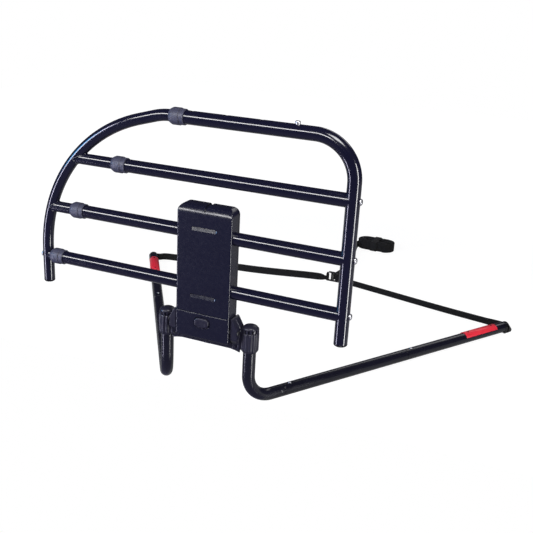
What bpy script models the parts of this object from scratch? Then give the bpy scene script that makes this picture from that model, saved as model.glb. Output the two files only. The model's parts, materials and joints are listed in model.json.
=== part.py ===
"""Bed assist rail: a telescoping handrail that folds down on a two-legged base.

Working frame while modelling: X along the rail, Y from the rail towards the bed, Z up, with x = 0
midway between the legs, y = 0 in the plane of the rail tubes and z = 0 on the floor.  The last
step moves the whole assembly so that its box is centred on X and Y and stands on z = 0.
All sizes are in metres.
"""
import math

import bmesh
import bpy
from mathutils import Matrix, Vector

# ---------------------------------------------------------------- driving dimensions
GAP = 0.0003                 # air left between neighbours that touch
SIDES = 16                   # sides of every frame tube

# tubes
OUTER_R = 0.0127             # outer rail tube, 25.4 mm
OUTER_WALL = 0.0012
INNER_WALL = 0.0012          # inner rail tube, slides in the outer one
SLIDE_FIT = 0.0005           # inner tube to outer bore
LEG_R = 0.0127               # leg tube, 25.4 mm
LEG_WALL = 0.0012

# rail
RAIL_RIGHT_X = 0.2727        # centre of the right upright
RAIL_LEFT_X = -0.3640        # centre of the left upright
LOWEST_BAR_Z = 0.2375        # centre height of the lowest crossbar
BAR_STEP = 0.1055            # from bar to bar
BAR_COUNT = 4
RAIL_FOOT_Z = 0.1835         # lower end of both uprights
RIGHT_BEND = 0.075           # centreline radius of the right corner
SHOULDER_BEND = 0.120        # radius at the top of the curved side
SHOULDER_ANGLE = math.radians(16)
SIDE_BEND = 0.300            # radius of the rest of the curved side
RAIL_TRAVEL = 0.203          # how far the rail pulls out
OVERLAP = 0.030              # tube left inside its sleeve when pulled out

# collars on the ends of the outer tubes: X of each collar's free end, top to bottom
COLLAR_WALL = 0.0033         # collar's outside to the outer tube's
COLLAR_LENGTH = 0.030
COLLAR_LIP = 0.006
COLLAR_CHAMFER = 0.005
COLLAR_STEP = 0.003          # small step at the end over the tube
COLLAR_NAMES = ("top", "upper", "middle", "lower")
COLLAR_X = (-0.0795, -0.203, -0.300)
COLLAR_TO_UPRIGHT = 0.0006   # the lowest collar stops just short of the left upright

# fasteners
BOLT_R = 0.0030
BOLT_HEAD_R = 0.0062
BOLT_HEAD = 0.0035
INSERT_LENGTH = 0.018
BOLT_GRIP = 0.012            # how far a bolt reaches into its insert

# snap button of the telescoping top rail
SNAP_X = 0.1645
SNAP_R = 0.0047
SNAP_PROUD = 0.0060
SNAP_HOLES = 4               # positions along the outer top tube
SNAP_EDGE = 0.0235           # tube beyond the button
SNAP_FLANGE_R = 0.0058
SNAP_FLANGE_DROP = 0.0030    # flange's top under the crown of the inner bore
SNAP_LEAF_WIDTH = 0.0070     # hairpin spring under the button
SNAP_LEAF_SHEET = 0.0007
SNAP_LEAF_LENGTH = 0.042

# housing
HOUSE_HALF = 0.0565
HOUSE_BEFORE_BAR = 0.0038    # front face to the crossbars' surface
HOUSE_BEHIND_BAR = 0.0068
HOUSE_BOTTOM = 0.134
HOUSE_SEAM = 0.187
HOUSE_OVER_BAR = 0.0555      # top above the upper of its two crossbars
HOUSE_REAR_DEPTH = 0.0070    # the rear cover's share of the depth
HOUSE_WALL = 0.0025
HOUSE_SHOULDER = 0.0185      # round on the upper front edge
HOUSE_ROUND = 0.005          # corners seen from the side
HOUSE_EDGE = 0.0032          # edges round both side walls
SEAM_GAP = 0.0006

# screws of the rear cover, countersunk
SCREW_R = 0.0016
SCREW_HEAD_R = 0.0036
SCREW_LENGTH = 0.0126
SCREW_CONE = 0.0023
SCREW_SUNK = 0.0002

# spine bracket inside the housing
SPINE_IN = 0.0090            # housing side to the bracket's side
SPINE_SHEET = 0.0017
SPINE_OVER_BAR = 0.029       # top above the upper of its two crossbars
SPINE_WEB_FOOT = 0.200
SPINE_FRONT = -0.006
SPINE_LAP = 0.004            # ears run this far into the flanges

# fold pivot
PIVOT_Y = -0.0085
PIVOT_Z = 0.160
PIN_R = 0.0030
BUSH_R = 0.0050
PIN_IN = 0.0145              # housing side to the pin's inner end
PIN_HEAD_R = 0.0048
PIN_HEAD = 0.0020

# release button and latch
BUTTON_Z = 0.1690
BUTTON_HALF_X = 0.0150
BUTTON_HALF_Z = 0.0098
BUTTON_PROUD = 0.0036
BUTTON_LIP = 0.0020
BUTTON_FIT = 0.0005
BUTTON_STEM_R = 0.0040
BUTTON_PLAY = 0.0005         # stem to leaf
LEAF_SHEET = 0.0008
LEAF_HALF_X = 0.0070
LEAF_TOP = 0.275
LEAF_TOE = 0.0052
LATCH_GAP = 0.0012           # toe below the beam

# base yoke
LEG_FROM_HOUSE = 0.0337      # housing side to the leg's centre
LEG_Y = 0.0120
SOCKET_WALL = 0.0038
SOCKET_BOTTOM = 0.118
SOCKET_TOP = 0.160
DOME_TOP = 0.1745
DOME_TEETH = 12
EAR_GAP = 0.0020             # housing side to ear
EAR_TOP = 0.1875
EAR_ROUND = 0.010
BEAM_FRONT = 0.0030
BEAM_TOP = 0.1310
BEAM_BOTTOM = 0.1185
SKIRT = 0.0035               # front lip that hides the latch toe
SKIRT_SHEET = 0.0028

# legs
LEG_SPLAY = math.radians(32.8)
LEG_REACH = 0.742            # along the floor, upright centre to tube end
LEG_BEND = 0.055
LEG_SEAMS = (0.084, 0.420)   # joints between the three tubes, along the floor
SPIGOT = 0.036
SPIGOT_FIT = 0.0004
LEG_SNAP_R = 0.0032
LEG_SNAP_DROP = 0.0027       # flange's top under the crown of the spigot's bore
LEG_SNAP_FLANGE = 0.0008
LEG_SNAP_BACK = 0.018        # snap button before the end of its spigot

# end caps and labels
CAP_LENGTH = 0.026
CAP_PLUG = 0.020
CAP_SLOT_AT = 0.55           # share of the cap's length
CAP_SLOT = 0.005             # wide
LABEL_LENGTH = 0.105
LABEL_START = 0.014          # from the end cap
LABEL_SHEET = 0.0004

# strap
STRAP_WIDTH = 0.020
STRAP_SHEET = 0.0018
STRAP_Z = 0.0112
BUCKLE_X = 0.012
BUCKLE_Y = 0.752
BUCKLE_LENGTH = 0.030
BUCKLE_WIDTH = 0.028
BUCKLE_SHEET = 0.006
BUCKLE_BAR = 0.004
HANK_X = 0.040
HANK_Y = 1.095
HANK_LENGTH = 0.118
HANK_DEPTH = 0.062
HANK_RISE = 0.0020           # folded webbing is a little taller than one layer
KEEPER_WIDTH = 0.020
KEEPER_SHEET = 0.0012
KEEPER_GAP = 0.0006


# ---------------------------------------------------------------- derived sizes
BAR_TOP_Z = LOWEST_BAR_Z + (BAR_COUNT - 1) * BAR_STEP


def bar_z(index):
    """Height of a bar's centre: 0 is the top rail, 3 the lowest crossbar."""
    return BAR_TOP_Z - index * BAR_STEP


BAR_NAMES = ("upper", "middle", "lower")
HOUSE_BARS = (2, 3)                      # the bars that pass through the housing
SHOULDER_X = COLLAR_X[0] - 0.0005        # the top rail comes down from its collar's free end
OUTER_BORE = OUTER_R - OUTER_WALL
INNER_R = OUTER_BORE - SLIDE_FIT
COLLAR_R = OUTER_R + COLLAR_WALL
INNER_BORE = INNER_R - INNER_WALL
SNAP_FLANGE_TOP = INNER_BORE - SNAP_FLANGE_DROP
LEG_BORE = LEG_R - LEG_WALL
SPIGOT_R = LEG_BORE - SPIGOT_FIT
LEG_SNAP_TOP = SPIGOT_R - LEG_WALL - LEG_SNAP_DROP
SOCKET_R = LEG_R + SOCKET_WALL
LEG_X = HOUSE_HALF + LEG_FROM_HOUSE
SIDE_STRAIGHT = ((SHOULDER_X - RAIL_LEFT_X) - SHOULDER_BEND * math.sin(SHOULDER_ANGLE)
                 - SIDE_BEND * (1 - math.sin(SHOULDER_ANGLE))) / math.cos(SHOULDER_ANGLE)
SIDE_FOOT_Z = (BAR_TOP_Z - SHOULDER_BEND * (1 - math.cos(SHOULDER_ANGLE))
               - SIDE_STRAIGHT * math.sin(SHOULDER_ANGLE) - SIDE_BEND * math.cos(SHOULDER_ANGLE))
LOWEST_COLLAR_X = RAIL_LEFT_X + INNER_R + COLLAR_TO_UPRIGHT
COLLAR_ENDS = COLLAR_X + (LOWEST_COLLAR_X,)
HOUSE_FRONT = -(OUTER_R + HOUSE_BEFORE_BAR)
HOUSE_BACK = OUTER_R + HOUSE_BEHIND_BAR
HOUSE_TOP = bar_z(HOUSE_BARS[0]) + HOUSE_OVER_BAR
HOUSE_SPLIT_Y = HOUSE_BACK - HOUSE_REAR_DEPTH
HOUSE_IN_FRONT = HOUSE_FRONT + HOUSE_WALL
HOUSE_IN_BACK = HOUSE_BACK - HOUSE_WALL
EAR_IN = HOUSE_HALF + EAR_GAP
EAR_OUT = LEG_X - SOCKET_R - GAP * 2
SPINE_X = HOUSE_HALF - SPINE_IN
SPINE_TOP = bar_z(HOUSE_BARS[0]) + SPINE_OVER_BAR
PIN_INNER_X = HOUSE_HALF - PIN_IN
COVER_SCREW_Z = ((bar_z(HOUSE_BARS[0]) + bar_z(HOUSE_BARS[1])) / 2, HOUSE_TOP - 0.0185)
SPINE_WEB_FRONT = HOUSE_IN_BACK - GAP - SPINE_SHEET - 0.0004
LEAF_FRONT = OUTER_R + 0.0005
BEAM_BACK = LEAF_FRONT - 0.0005


# ---------------------------------------------------------------- small helpers
def clear_scene():
    for obj in list(bpy.data.objects):
        bpy.data.objects.remove(obj, do_unlink=True)


def material(name, colour, roughness, metallic=0.0):
    mat = bpy.data.materials.new(name)
    mat.use_nodes = True
    shader = mat.node_tree.nodes["Principled BSDF"]
    shader.inputs["Base Color"].default_value = (*colour, 1.0)
    shader.inputs["Roughness"].default_value = roughness
    shader.inputs["Metallic"].default_value = metallic
    return mat


def empty(name, location, parent=None):
    obj = bpy.data.objects.new(name, None)
    obj.location = location
    obj.parent = parent
    if parent is not None:
        obj.matrix_parent_inverse = Matrix.Translation(-parent.location)
    bpy.context.collection.objects.link(obj)
    return obj


def finish(bm, name, mat, group, smooth=True):
    """Turn a bmesh into an object of the group, with its faces out and its round parts smooth."""
    bmesh.ops.recalc_face_normals(bm, faces=bm.faces)
    mesh = bpy.data.meshes.new(name)
    bm.to_mesh(mesh)
    bm.free()
    if smooth:
        mesh.shade_smooth()
        mesh.set_sharp_from_angle(angle=math.radians(35))
    mesh.materials.append(mat)
    obj = bpy.data.objects.new(name, mesh)
    obj.parent = group
    obj.matrix_parent_inverse = Matrix.Translation(-group.location)
    bpy.context.collection.objects.link(obj)
    return obj


def as_cutter(obj):
    obj.hide_render = True
    obj.display_type = "WIRE"
    return obj


def combine(target, tool, operation):
    modifier = target.modifiers.new(operation.lower(), "BOOLEAN")
    modifier.operation = operation
    modifier.solver = "EXACT"
    modifier.object = as_cutter(tool)


def cut(target, *cutters):
    for cutter in cutters:
        combine(target, cutter, "DIFFERENCE")


def join(target, *pieces):
    for piece in pieces:
        combine(target, piece, "UNION")


# ---------------------------------------------------------------- shapes
def ring(bm, centre, tangent, side, radius, sides, phase=0.0):
    up = side.cross(tangent).normalized()
    verts = []
    for k in range(sides):
        angle = 2 * math.pi * (k + phase) / sides
        verts.append(bm.verts.new(centre + radius * (math.cos(angle) * side + math.sin(angle) * up)))
    return verts


def skin(bm, rings, closed=False):
    pairs = list(zip(rings, rings[1:]))
    if closed:
        pairs.append((rings[-1], rings[0]))
    for first, second in pairs:
        count = len(first)
        for k in range(count):
            bm.faces.new((first[k], first[(k + 1) % count], second[(k + 1) % count], second[k]))


def tangents(path):
    found = []
    for i in range(len(path)):
        before = path[max(i - 1, 0)]
        after = path[min(i + 1, len(path) - 1)]
        found.append((after - before).normalized())
    return found


def pipe(name, path, side, outer, bore, mat, group, sides=SIDES, phase=0.0):
    """A tube along a flat path.  outer and bore give a radius, or one for each point of the path.
    A bore of 0 makes a solid rod.  phase turns the sides by a share of one side."""
    side = Vector(side).normalized()
    outers = outer if isinstance(outer, (list, tuple)) else [outer] * len(path)
    bm = bmesh.new()
    ways = tangents(path)
    outside = [ring(bm, p, t, side, r, sides, phase) for p, t, r in zip(path, ways, outers)]
    if bore == 0:
        skin(bm, outside)
        bm.faces.new(outside[0])
        bm.faces.new(outside[-1])
    else:
        bores = bore if isinstance(bore, (list, tuple)) else [bore] * len(path)
        inside = [ring(bm, p, t, side, r, sides, phase) for p, t, r in zip(path, ways, bores)]
        skin(bm, outside + inside[::-1], closed=True)
    return finish(bm, name, mat, group)


def rod(name, start, end, radius, mat, group, sides=SIDES):
    start, end = Vector(start), Vector(end)
    way = (end - start).normalized()
    side = Vector((0, 1, 0)) if abs(way.y) < 0.9 else Vector((1, 0, 0))
    return pipe(name, [start, end], side, radius, 0, mat, group, sides)


def drill(name, start, end, radius, mat, group, sides=12):
    """A cutter for a small hole, turned so that none of its corners lies on a tube's ridge."""
    start, end = Vector(start), Vector(end)
    way = (end - start).normalized()
    side = Vector((0, 1, 0)) if abs(way.y) < 0.9 else Vector((1, 0, 0))
    return pipe(name, [start, end], side, radius, 0, mat, group, sides, phase=0.5)


def turned(name, profile, start, way, mat, group, sides=SIDES, closed=False):
    """Turn (radius, height) points about an axis through start.  A closed profile is a ring."""
    start, way = Vector(start), Vector(way).normalized()
    side = Vector((0, 1, 0)) if abs(way.y) < 0.9 else Vector((1, 0, 0))
    bm = bmesh.new()
    rings = [ring(bm, start + way * h, way, side, r, sides) for r, h in profile]
    skin(bm, rings, closed)
    if not closed:
        bm.faces.new(rings[0])
        bm.faces.new(rings[-1])
    return finish(bm, name, mat, group)


def prism(name, outline, lift, mat, group):
    """Extrude a flat outline of 3-D points by a vector."""
    bm = bmesh.new()
    low = [bm.verts.new(Vector(p)) for p in outline]
    high = [bm.verts.new(Vector(p) + Vector(lift)) for p in outline]
    skin(bm, [low, high])
    bm.faces.new(low)
    bm.faces.new(high)
    return finish(bm, name, mat, group)


def block(name, x, y, z, mat, group):
    outline = [(x[0], y[0], z[0]), (x[1], y[0], z[0]), (x[1], y[1], z[0]), (x[0], y[1], z[0])]
    return prism(name, outline, (0, 0, z[1] - z[0]), mat, group)


def soften(obj, width, segments=2, limit=35):
    bevel = obj.modifiers.new("soft_edges", "BEVEL")
    bevel.width = width
    bevel.segments = segments
    bevel.limit_method = "ANGLE"
    bevel.angle_limit = math.radians(limit)
    bevel.use_clamp_overlap = True


def arc(centre, radius, start, end, steps):
    """Points of an arc in a plane, as (first, second) coordinate pairs; angles in radians."""
    points = []
    for k in range(steps + 1):
        angle = start + (end - start) * k / steps
        points.append((centre[0] + radius * math.cos(angle), centre[1] + radius * math.sin(angle)))
    return points


def oval(half_x, half_z, steps=28):
    """A stadium-like oval between an ellipse and a rectangle, as (x, z) pairs."""
    points = []
    for k in range(steps):
        angle = 2 * math.pi * k / steps
        c, s = math.cos(angle), math.sin(angle)
        points.append((half_x * math.copysign(abs(c) ** 0.75, c),
                       half_z * math.copysign(abs(s) ** 0.75, s)))
    return points


# ---------------------------------------------------------------- rail paths
def in_rail(points):
    return [Vector((x, 0, z)) for x, z in points]


def side_x(z):
    """X of the curved side tube's centre at a height on its lower arc."""
    if z <= SIDE_FOOT_Z:
        return RAIL_LEFT_X
    return RAIL_LEFT_X + SIDE_BEND - math.sqrt(SIDE_BEND ** 2 - (z - SIDE_FOOT_Z) ** 2)


def outer_path():
    corner = (RAIL_RIGHT_X - RIGHT_BEND, BAR_TOP_Z - RIGHT_BEND)
    points = [(COLLAR_ENDS[0] + COLLAR_LIP + GAP, BAR_TOP_Z)]
    points += arc(corner, RIGHT_BEND, math.pi / 2, 0, 8)
    points.append((RAIL_RIGHT_X, RAIL_FOOT_Z))
    return in_rail(points)


def inner_path():
    top = (SHOULDER_X, BAR_TOP_Z - SHOULDER_BEND)
    low = (RAIL_LEFT_X + SIDE_BEND, SIDE_FOOT_Z)
    turn = math.pi / 2 + SHOULDER_ANGLE
    points = [(SNAP_X + SNAP_EDGE, BAR_TOP_Z)]
    points += arc(top, SHOULDER_BEND, math.pi / 2, turn, 3)
    points += arc(low, SIDE_BEND, turn, math.pi, 13)
    points.append((RAIL_LEFT_X, RAIL_FOOT_Z))
    return in_rail(points)


# ---------------------------------------------------------------- rail pieces
def saddle_cutter(name, path, radius, group, mat):
    """A solid a hair fatter than a tube, which shapes the ends of the bars that meet it."""
    return pipe(name, path, (0, 1, 0), radius + GAP * 1.4, 0, mat, group)


def upright_drill(name, x, z, group, mat):
    reach = OUTER_R * 2
    return drill(name, (x - reach, 0, z), (x + reach, 0, z), BOLT_R + GAP * 1.3, mat, group)


def bolt(name, x, z, way, head_at, mat, group):
    """Button-head bolt along X through an upright; way points from the head inwards."""
    length = 2 * head_at + INSERT_LENGTH * 0.2 + BOLT_GRIP
    head = [(BOLT_HEAD_R * 0.45, -BOLT_HEAD), (BOLT_HEAD_R * 0.85, -BOLT_HEAD * 0.72),
            (BOLT_HEAD_R, -BOLT_HEAD * 0.2), (BOLT_HEAD_R, 0), (BOLT_R, 0), (BOLT_R, length)]
    start = Vector((x, 0, z)) - Vector(way) * (head_at + GAP)
    return turned(name, head, start, way, mat, group, 16)


def insert(name, face_x, z, way, bore, mat, group):
    """Threaded plug inside a crossbar's end, bored for its bolt."""
    profile = [(bore - GAP * 1.3, 0), (bore - GAP * 1.3, INSERT_LENGTH),
               (BOLT_R + GAP * 1.3, INSERT_LENGTH), (BOLT_R + GAP * 1.3, 0)]
    return turned(name, profile, (face_x, 0, z), way, mat, group, 16, closed=True)


def collar(name, x, z, mat, group):
    lip = INNER_R + 0.0005
    sleeve = OUTER_R + 0.0004
    profile = [(lip, 0), (COLLAR_R * 0.80, 0), (COLLAR_R, COLLAR_CHAMFER),
               (COLLAR_R, COLLAR_LENGTH - COLLAR_STEP), (COLLAR_R * 0.93, COLLAR_LENGTH),
               (sleeve, COLLAR_LENGTH), (sleeve, COLLAR_LIP), (lip, COLLAR_LIP)]
    return turned(name, profile, (x, 0, z), (1, 0, 0), mat, group, closed=True)


def tube_plug(name, x, bore, outer, mat, group):
    """Plastic plug pushed into an upright's lower end, with a low domed face."""
    profile = [(bore - GAP * 1.3, -CAP_PLUG), (bore - GAP * 1.3, GAP), (outer, GAP),
               (outer, 0.0022), (outer * 0.80, 0.0040), (outer * 0.35, 0.0050)]
    return turned(name, profile, (x, 0, RAIL_FOOT_Z), (0, 0, -1), mat, group)


def outer_rail(mats, group):
    paint, steel, grey = mats["paint"], mats["steel"], mats["collar"]
    tube = pipe("outer_frame_tube", outer_path(), (0, 1, 0), OUTER_R, OUTER_BORE, paint, group)
    saddle = saddle_cutter("cut_right_upright", outer_path(), OUTER_R, group, paint)
    pitch = RAIL_TRAVEL / (SNAP_HOLES - 1)
    for k in range(SNAP_HOLES):
        x = SNAP_X - k * pitch
        if x < COLLAR_ENDS[0] + COLLAR_LENGTH + SNAP_R * 2:
            continue
        cut(tube, drill(f"cut_snap_hole_{k}", (x, 0, BAR_TOP_Z), (x, 0, BAR_TOP_Z + OUTER_R * 1.5),
                        SNAP_R + GAP * 1.5, paint, group, 16))
    for k, name in enumerate(BAR_NAMES, start=1):
        z = bar_z(k)
        start = COLLAR_ENDS[k] + COLLAR_LIP + GAP
        bar = pipe(f"outer_crossbar_{name}", in_rail([(start, z), (RAIL_RIGHT_X, z)]), (0, 1, 0),
                   OUTER_R, OUTER_BORE, paint, group)
        cut(bar, saddle)
        cut(tube, upright_drill(f"cut_bolt_{name}", RAIL_RIGHT_X, z, group, steel))
        bolt(f"crossbar_bolt_{name}", RAIL_RIGHT_X, z, (-1, 0, 0), OUTER_R, steel, group)
        insert(f"crossbar_insert_{name}", RAIL_RIGHT_X - OUTER_R - GAP * 2, z, (-1, 0, 0),
               OUTER_BORE, steel, group)
    for k, name in enumerate(COLLAR_NAMES):
        collar(f"collar_{name}", COLLAR_ENDS[k], bar_z(k), grey, group)
    tube_plug("tube_plug_right", RAIL_RIGHT_X, OUTER_BORE, OUTER_R, mats["plastic"], group)


def inner_rail(mats, group):
    paint, steel = mats["paint"], mats["steel"]
    tube = pipe("inner_frame_tube", inner_path(), (0, 1, 0), INNER_R, INNER_BORE, paint, group)
    cut(tube, drill("cut_inner_snap_hole", (SNAP_X, 0, BAR_TOP_Z),
                    (SNAP_X, 0, BAR_TOP_Z + OUTER_R * 1.5), SNAP_R + GAP * 1.5, paint, group, 16))
    saddle = saddle_cutter("cut_left_side", inner_path(), INNER_R, group, paint)
    for k, name in enumerate(BAR_NAMES, start=1):
        z = bar_z(k)
        end = COLLAR_ENDS[k] + RAIL_TRAVEL + OVERLAP
        bar = pipe(f"inner_crossbar_{name}", in_rail([(side_x(z), z), (end, z)]), (0, 1, 0),
                   INNER_R, INNER_BORE, paint, group)
        cut(bar, saddle)
    low = bar_z(3)
    cut(tube, upright_drill("cut_inner_bolt", RAIL_LEFT_X, low, group, steel))
    bolt("inner_bolt_lower", RAIL_LEFT_X, low, (1, 0, 0), INNER_R, steel, group)
    insert("inner_insert_lower", RAIL_LEFT_X + INNER_R + GAP * 2, low, (1, 0, 0), INNER_BORE,
           steel, group)
    tube_plug("tube_plug_left", RAIL_LEFT_X, INNER_BORE, INNER_R, mats["plastic"], group)
    snap_spring(steel, group)


def strip(name, path, side, half_width, sheet, mat, group):
    """Bent sheet metal or webbing: a flat strip along a path, its width along side."""
    side = Vector(side).normalized() * half_width
    bm = bmesh.new()
    rings = []
    for point, way in zip(path, tangents(path)):
        up = side.cross(way).normalized() * (sheet / 2)
        corners = (point - side - up, point + side - up, point + side + up, point - side + up)
        rings.append([bm.verts.new(corner) for corner in corners])
    skin(bm, rings)
    bm.faces.new(rings[0])
    bm.faces.new(rings[-1])
    return finish(bm, name, mat, group, smooth=False)


def snap_spring(mat, group):
    """Hairpin leaf inside the inner tube, which holds the snap button out."""
    high, low = SNAP_FLANGE_TOP - 0.0018, 0.0013 - INNER_BORE
    back = SNAP_X - SNAP_LEAF_LENGTH
    radius = 0.0040
    bend = arc((back, low + radius), radius, -math.pi / 2, -1.35 * math.pi, 6)
    points = [(SNAP_X + 0.012, low)] + bend + [(SNAP_X - SNAP_R, high), (SNAP_X + SNAP_R, high)]
    strip("snap_spring", in_rail([(x, BAR_TOP_Z + z) for x, z in points]), (0, 1, 0),
          SNAP_LEAF_WIDTH / 2, SNAP_LEAF_SHEET, mat, group)


def snap_button(mat, group):
    top = OUTER_R + SNAP_PROUD
    profile = [(SNAP_FLANGE_R, SNAP_FLANGE_TOP - 0.001), (SNAP_FLANGE_R, SNAP_FLANGE_TOP),
               (SNAP_R, SNAP_FLANGE_TOP), (SNAP_R, top - 0.0022), (SNAP_R * 0.86, top - 0.0009),
               (SNAP_R * 0.5, top - 0.0001)]
    turned("snap_button", profile, (SNAP_X, 0, BAR_TOP_Z), (0, 0, 1), mat, group, 16)


# ---------------------------------------------------------------- housing
def housing_outline(inset):
    """Side view of the housing as (y, z) pairs, moved inwards by inset."""
    front, back = HOUSE_FRONT + inset, HOUSE_BACK - inset
    bottom, top = HOUSE_BOTTOM + inset, HOUSE_TOP - inset
    shoulder = HOUSE_SHOULDER - inset
    small = max(HOUSE_ROUND - inset, 0.0012)
    points = arc((front + shoulder, top - shoulder), shoulder, math.pi, math.pi / 2, 5)
    points += arc((back - small, top - small), small, math.pi / 2, 0, 2)
    points += arc((back - small, bottom + small), small, 0, -math.pi / 2, 2)
    points += arc((front + small, bottom + small), small, -math.pi / 2, -math.pi, 2)
    return points


def housing_solid(name, inset, mats, group):
    half = HOUSE_HALF - inset
    outline = [(-half, y, z) for y, z in housing_outline(inset)]
    solid = prism(name, outline, (2 * half, 0, 0), mats["housing"], group)
    if inset == 0:
        soften(solid, HOUSE_EDGE, 2, 40)
    return solid


def housing_bores(mats, group):
    """Cutters that every cover shares: the hollow, the two crossbars and the pivot bushes."""
    reach = HOUSE_HALF * 1.5
    cutters = [housing_solid("cut_housing_hollow", HOUSE_WALL, mats, group)]
    for k in HOUSE_BARS:
        cutters.append(rod(f"cut_housing_bar_{k}", (-reach, 0, bar_z(k)), (reach, 0, bar_z(k)),
                           OUTER_R + GAP * 1.3, mats["housing"], group))
    cutters.append(rod("cut_housing_pivot", (-reach, PIVOT_Y, PIVOT_Z), (reach, PIVOT_Y, PIVOT_Z),
                       BUSH_R + GAP * 1.2, mats["housing"], group, 16))
    return cutters


def cover(name, y, z, bores, mats, group):
    """One of the covers: the housing kept only inside a y and z range."""
    shell = housing_solid(name, 0, mats, group)
    reach = HOUSE_HALF * 1.5
    combine(shell, block(f"cut_{name}_range", (-reach, reach), y, z, mats["housing"], group),
            "INTERSECT")
    cut(shell, *bores)
    return shell


def cover_screw(name, z, rear, mats, group):
    """Countersunk screw through the rear cover."""
    cone_end = SCREW_LENGTH - 0.0008
    profile = [(SCREW_R, 0), (SCREW_R, cone_end - SCREW_CONE), (SCREW_HEAD_R, cone_end),
               (SCREW_HEAD_R, SCREW_LENGTH)]
    start = HOUSE_BACK - SCREW_LENGTH - SCREW_SUNK
    turned(name, profile, (0, start, z), (0, 1, 0), mats["steel"], group, 12)
    clearance = [(r + GAP * 1.3, h) for r, h in profile]
    clearance[0] = (clearance[0][0], -GAP * 1.5)
    clearance[-1] = (clearance[-1][0], SCREW_LENGTH + 0.0024)
    cut(rear, turned(f"cut_{name}", clearance, (0, start, z), (0, 1, 0), mats["steel"], group, 12))


def housing(mats, group):
    bores = housing_bores(mats, group)
    beyond = 0.01
    front = cover("housing_front_cover", (HOUSE_FRONT - beyond, HOUSE_SPLIT_Y),
                  (HOUSE_SEAM + SEAM_GAP / 2, HOUSE_TOP + beyond), bores[:3], mats, group)
    rear = cover("housing_rear_cover", (HOUSE_SPLIT_Y + SEAM_GAP, HOUSE_BACK + beyond),
                 (HOUSE_SEAM + SEAM_GAP / 2, HOUSE_TOP + beyond), bores[:3], mats, group)
    lower = cover("housing_lower_cover", (HOUSE_FRONT - beyond, HOUSE_BACK + beyond),
                  (HOUSE_BOTTOM - beyond, HOUSE_SEAM - SEAM_GAP / 2), [bores[0], bores[3]],
                  mats, group)
    hole = [(x, HOUSE_FRONT - beyond, z + BUTTON_Z)
            for x, z in oval(BUTTON_HALF_X + BUTTON_FIT, BUTTON_HALF_Z + BUTTON_FIT)]
    cut(lower, prism("cut_button_hole", hole, (0, beyond + HOUSE_WALL * 2, 0), mats["housing"], group))
    slot = LEAF_HALF_X + 0.0012
    cut(lower, block("cut_latch_slot", (-slot, slot), (LEAF_FRONT - 0.0009, HOUSE_IN_BACK),
                     (HOUSE_BOTTOM - beyond, HOUSE_BOTTOM + HOUSE_WALL * 2), mats["housing"], group))
    for k, z in enumerate(COVER_SCREW_Z, start=1):
        cover_screw(f"cover_screw_{k}", z, rear, mats, group)


def spine(mats, group):
    """Folded steel channel that joins the two lower crossbars and carries the pivot pins."""
    steel = mats["steel"]
    web_back = SPINE_WEB_FRONT + SPINE_SHEET
    lowest = HOUSE_BOTTOM + HOUSE_ROUND + GAP
    body = block("spine_bracket", (-SPINE_X, SPINE_X), (SPINE_FRONT, web_back),
                 (SPINE_WEB_FOOT, SPINE_TOP), steel, group)
    inside = SPINE_X - SPINE_SHEET
    for sign, side in ((-1, "left"), (1, "right")):
        xs = sorted((sign * inside, sign * SPINE_X))
        join(body, block(f"join_spine_ear_{side}", xs, (HOUSE_IN_FRONT + GAP, web_back),
                         (lowest, HOUSE_SEAM), steel, group))
        join(body, block(f"join_spine_flange_{side}", xs, (SPINE_FRONT, web_back),
                         (HOUSE_SEAM - SPINE_LAP, SPINE_WEB_FOOT + SPINE_LAP), steel, group))
    cut(body, block("cut_spine_inside", (-inside, inside), (HOUSE_FRONT, SPINE_WEB_FRONT),
                    (HOUSE_BOTTOM, SPINE_TOP + 0.01), steel, group))
    reach = HOUSE_HALF
    for k in HOUSE_BARS:
        cut(body, rod(f"cut_spine_bar_{k}", (-reach, 0, bar_z(k)), (reach, 0, bar_z(k)),
                      OUTER_R + GAP * 1.3, steel, group))
    cut(body, rod("cut_spine_pivot", (-reach, PIVOT_Y, PIVOT_Z), (reach, PIVOT_Y, PIVOT_Z),
                  PIN_R + GAP * 1.3, steel, group, 16))
    for k, z in enumerate(COVER_SCREW_Z, start=1):
        if z < SPINE_TOP:
            cut(body, rod(f"cut_spine_screw_{k}", (0, 0, z), (0, HOUSE_BACK, z), SCREW_R * 1.9,
                          steel, group, 12))


def bushes(mats, group):
    """Nylon bush in each side wall of the lower cover."""
    profile = [(PIN_R + GAP * 1.2, 0), (BUSH_R, 0), (BUSH_R, HOUSE_WALL + 0.001),
               (PIN_R + GAP * 1.2, HOUSE_WALL + 0.001)]
    for sign, side in ((-1, "left"), (1, "right")):
        start = (sign * (HOUSE_HALF - HOUSE_WALL - 0.0005), PIVOT_Y, PIVOT_Z)
        turned(f"pivot_bush_{side}", profile, start, (sign, 0, 0), mats["nylon"], group, 16,
               closed=True)


def latch_leaf(mats, group):
    """Spring strip down the back of the housing, whose toe hooks under the yoke's beam."""
    y = LEAF_FRONT + LEAF_SHEET / 2
    toe_z = BEAM_BOTTOM - LATCH_GAP - LEAF_SHEET / 2
    path = [Vector((0, y, LEAF_TOP)), Vector((0, y, BUTTON_Z)), Vector((0, y, toe_z + 0.0012)),
            Vector((0, y - 0.0012, toe_z)), Vector((0, y - LEAF_TOE, toe_z))]
    strip("latch_leaf", path, (1, 0, 0), LEAF_HALF_X, LEAF_SHEET, mats["steel"], group)


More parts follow.
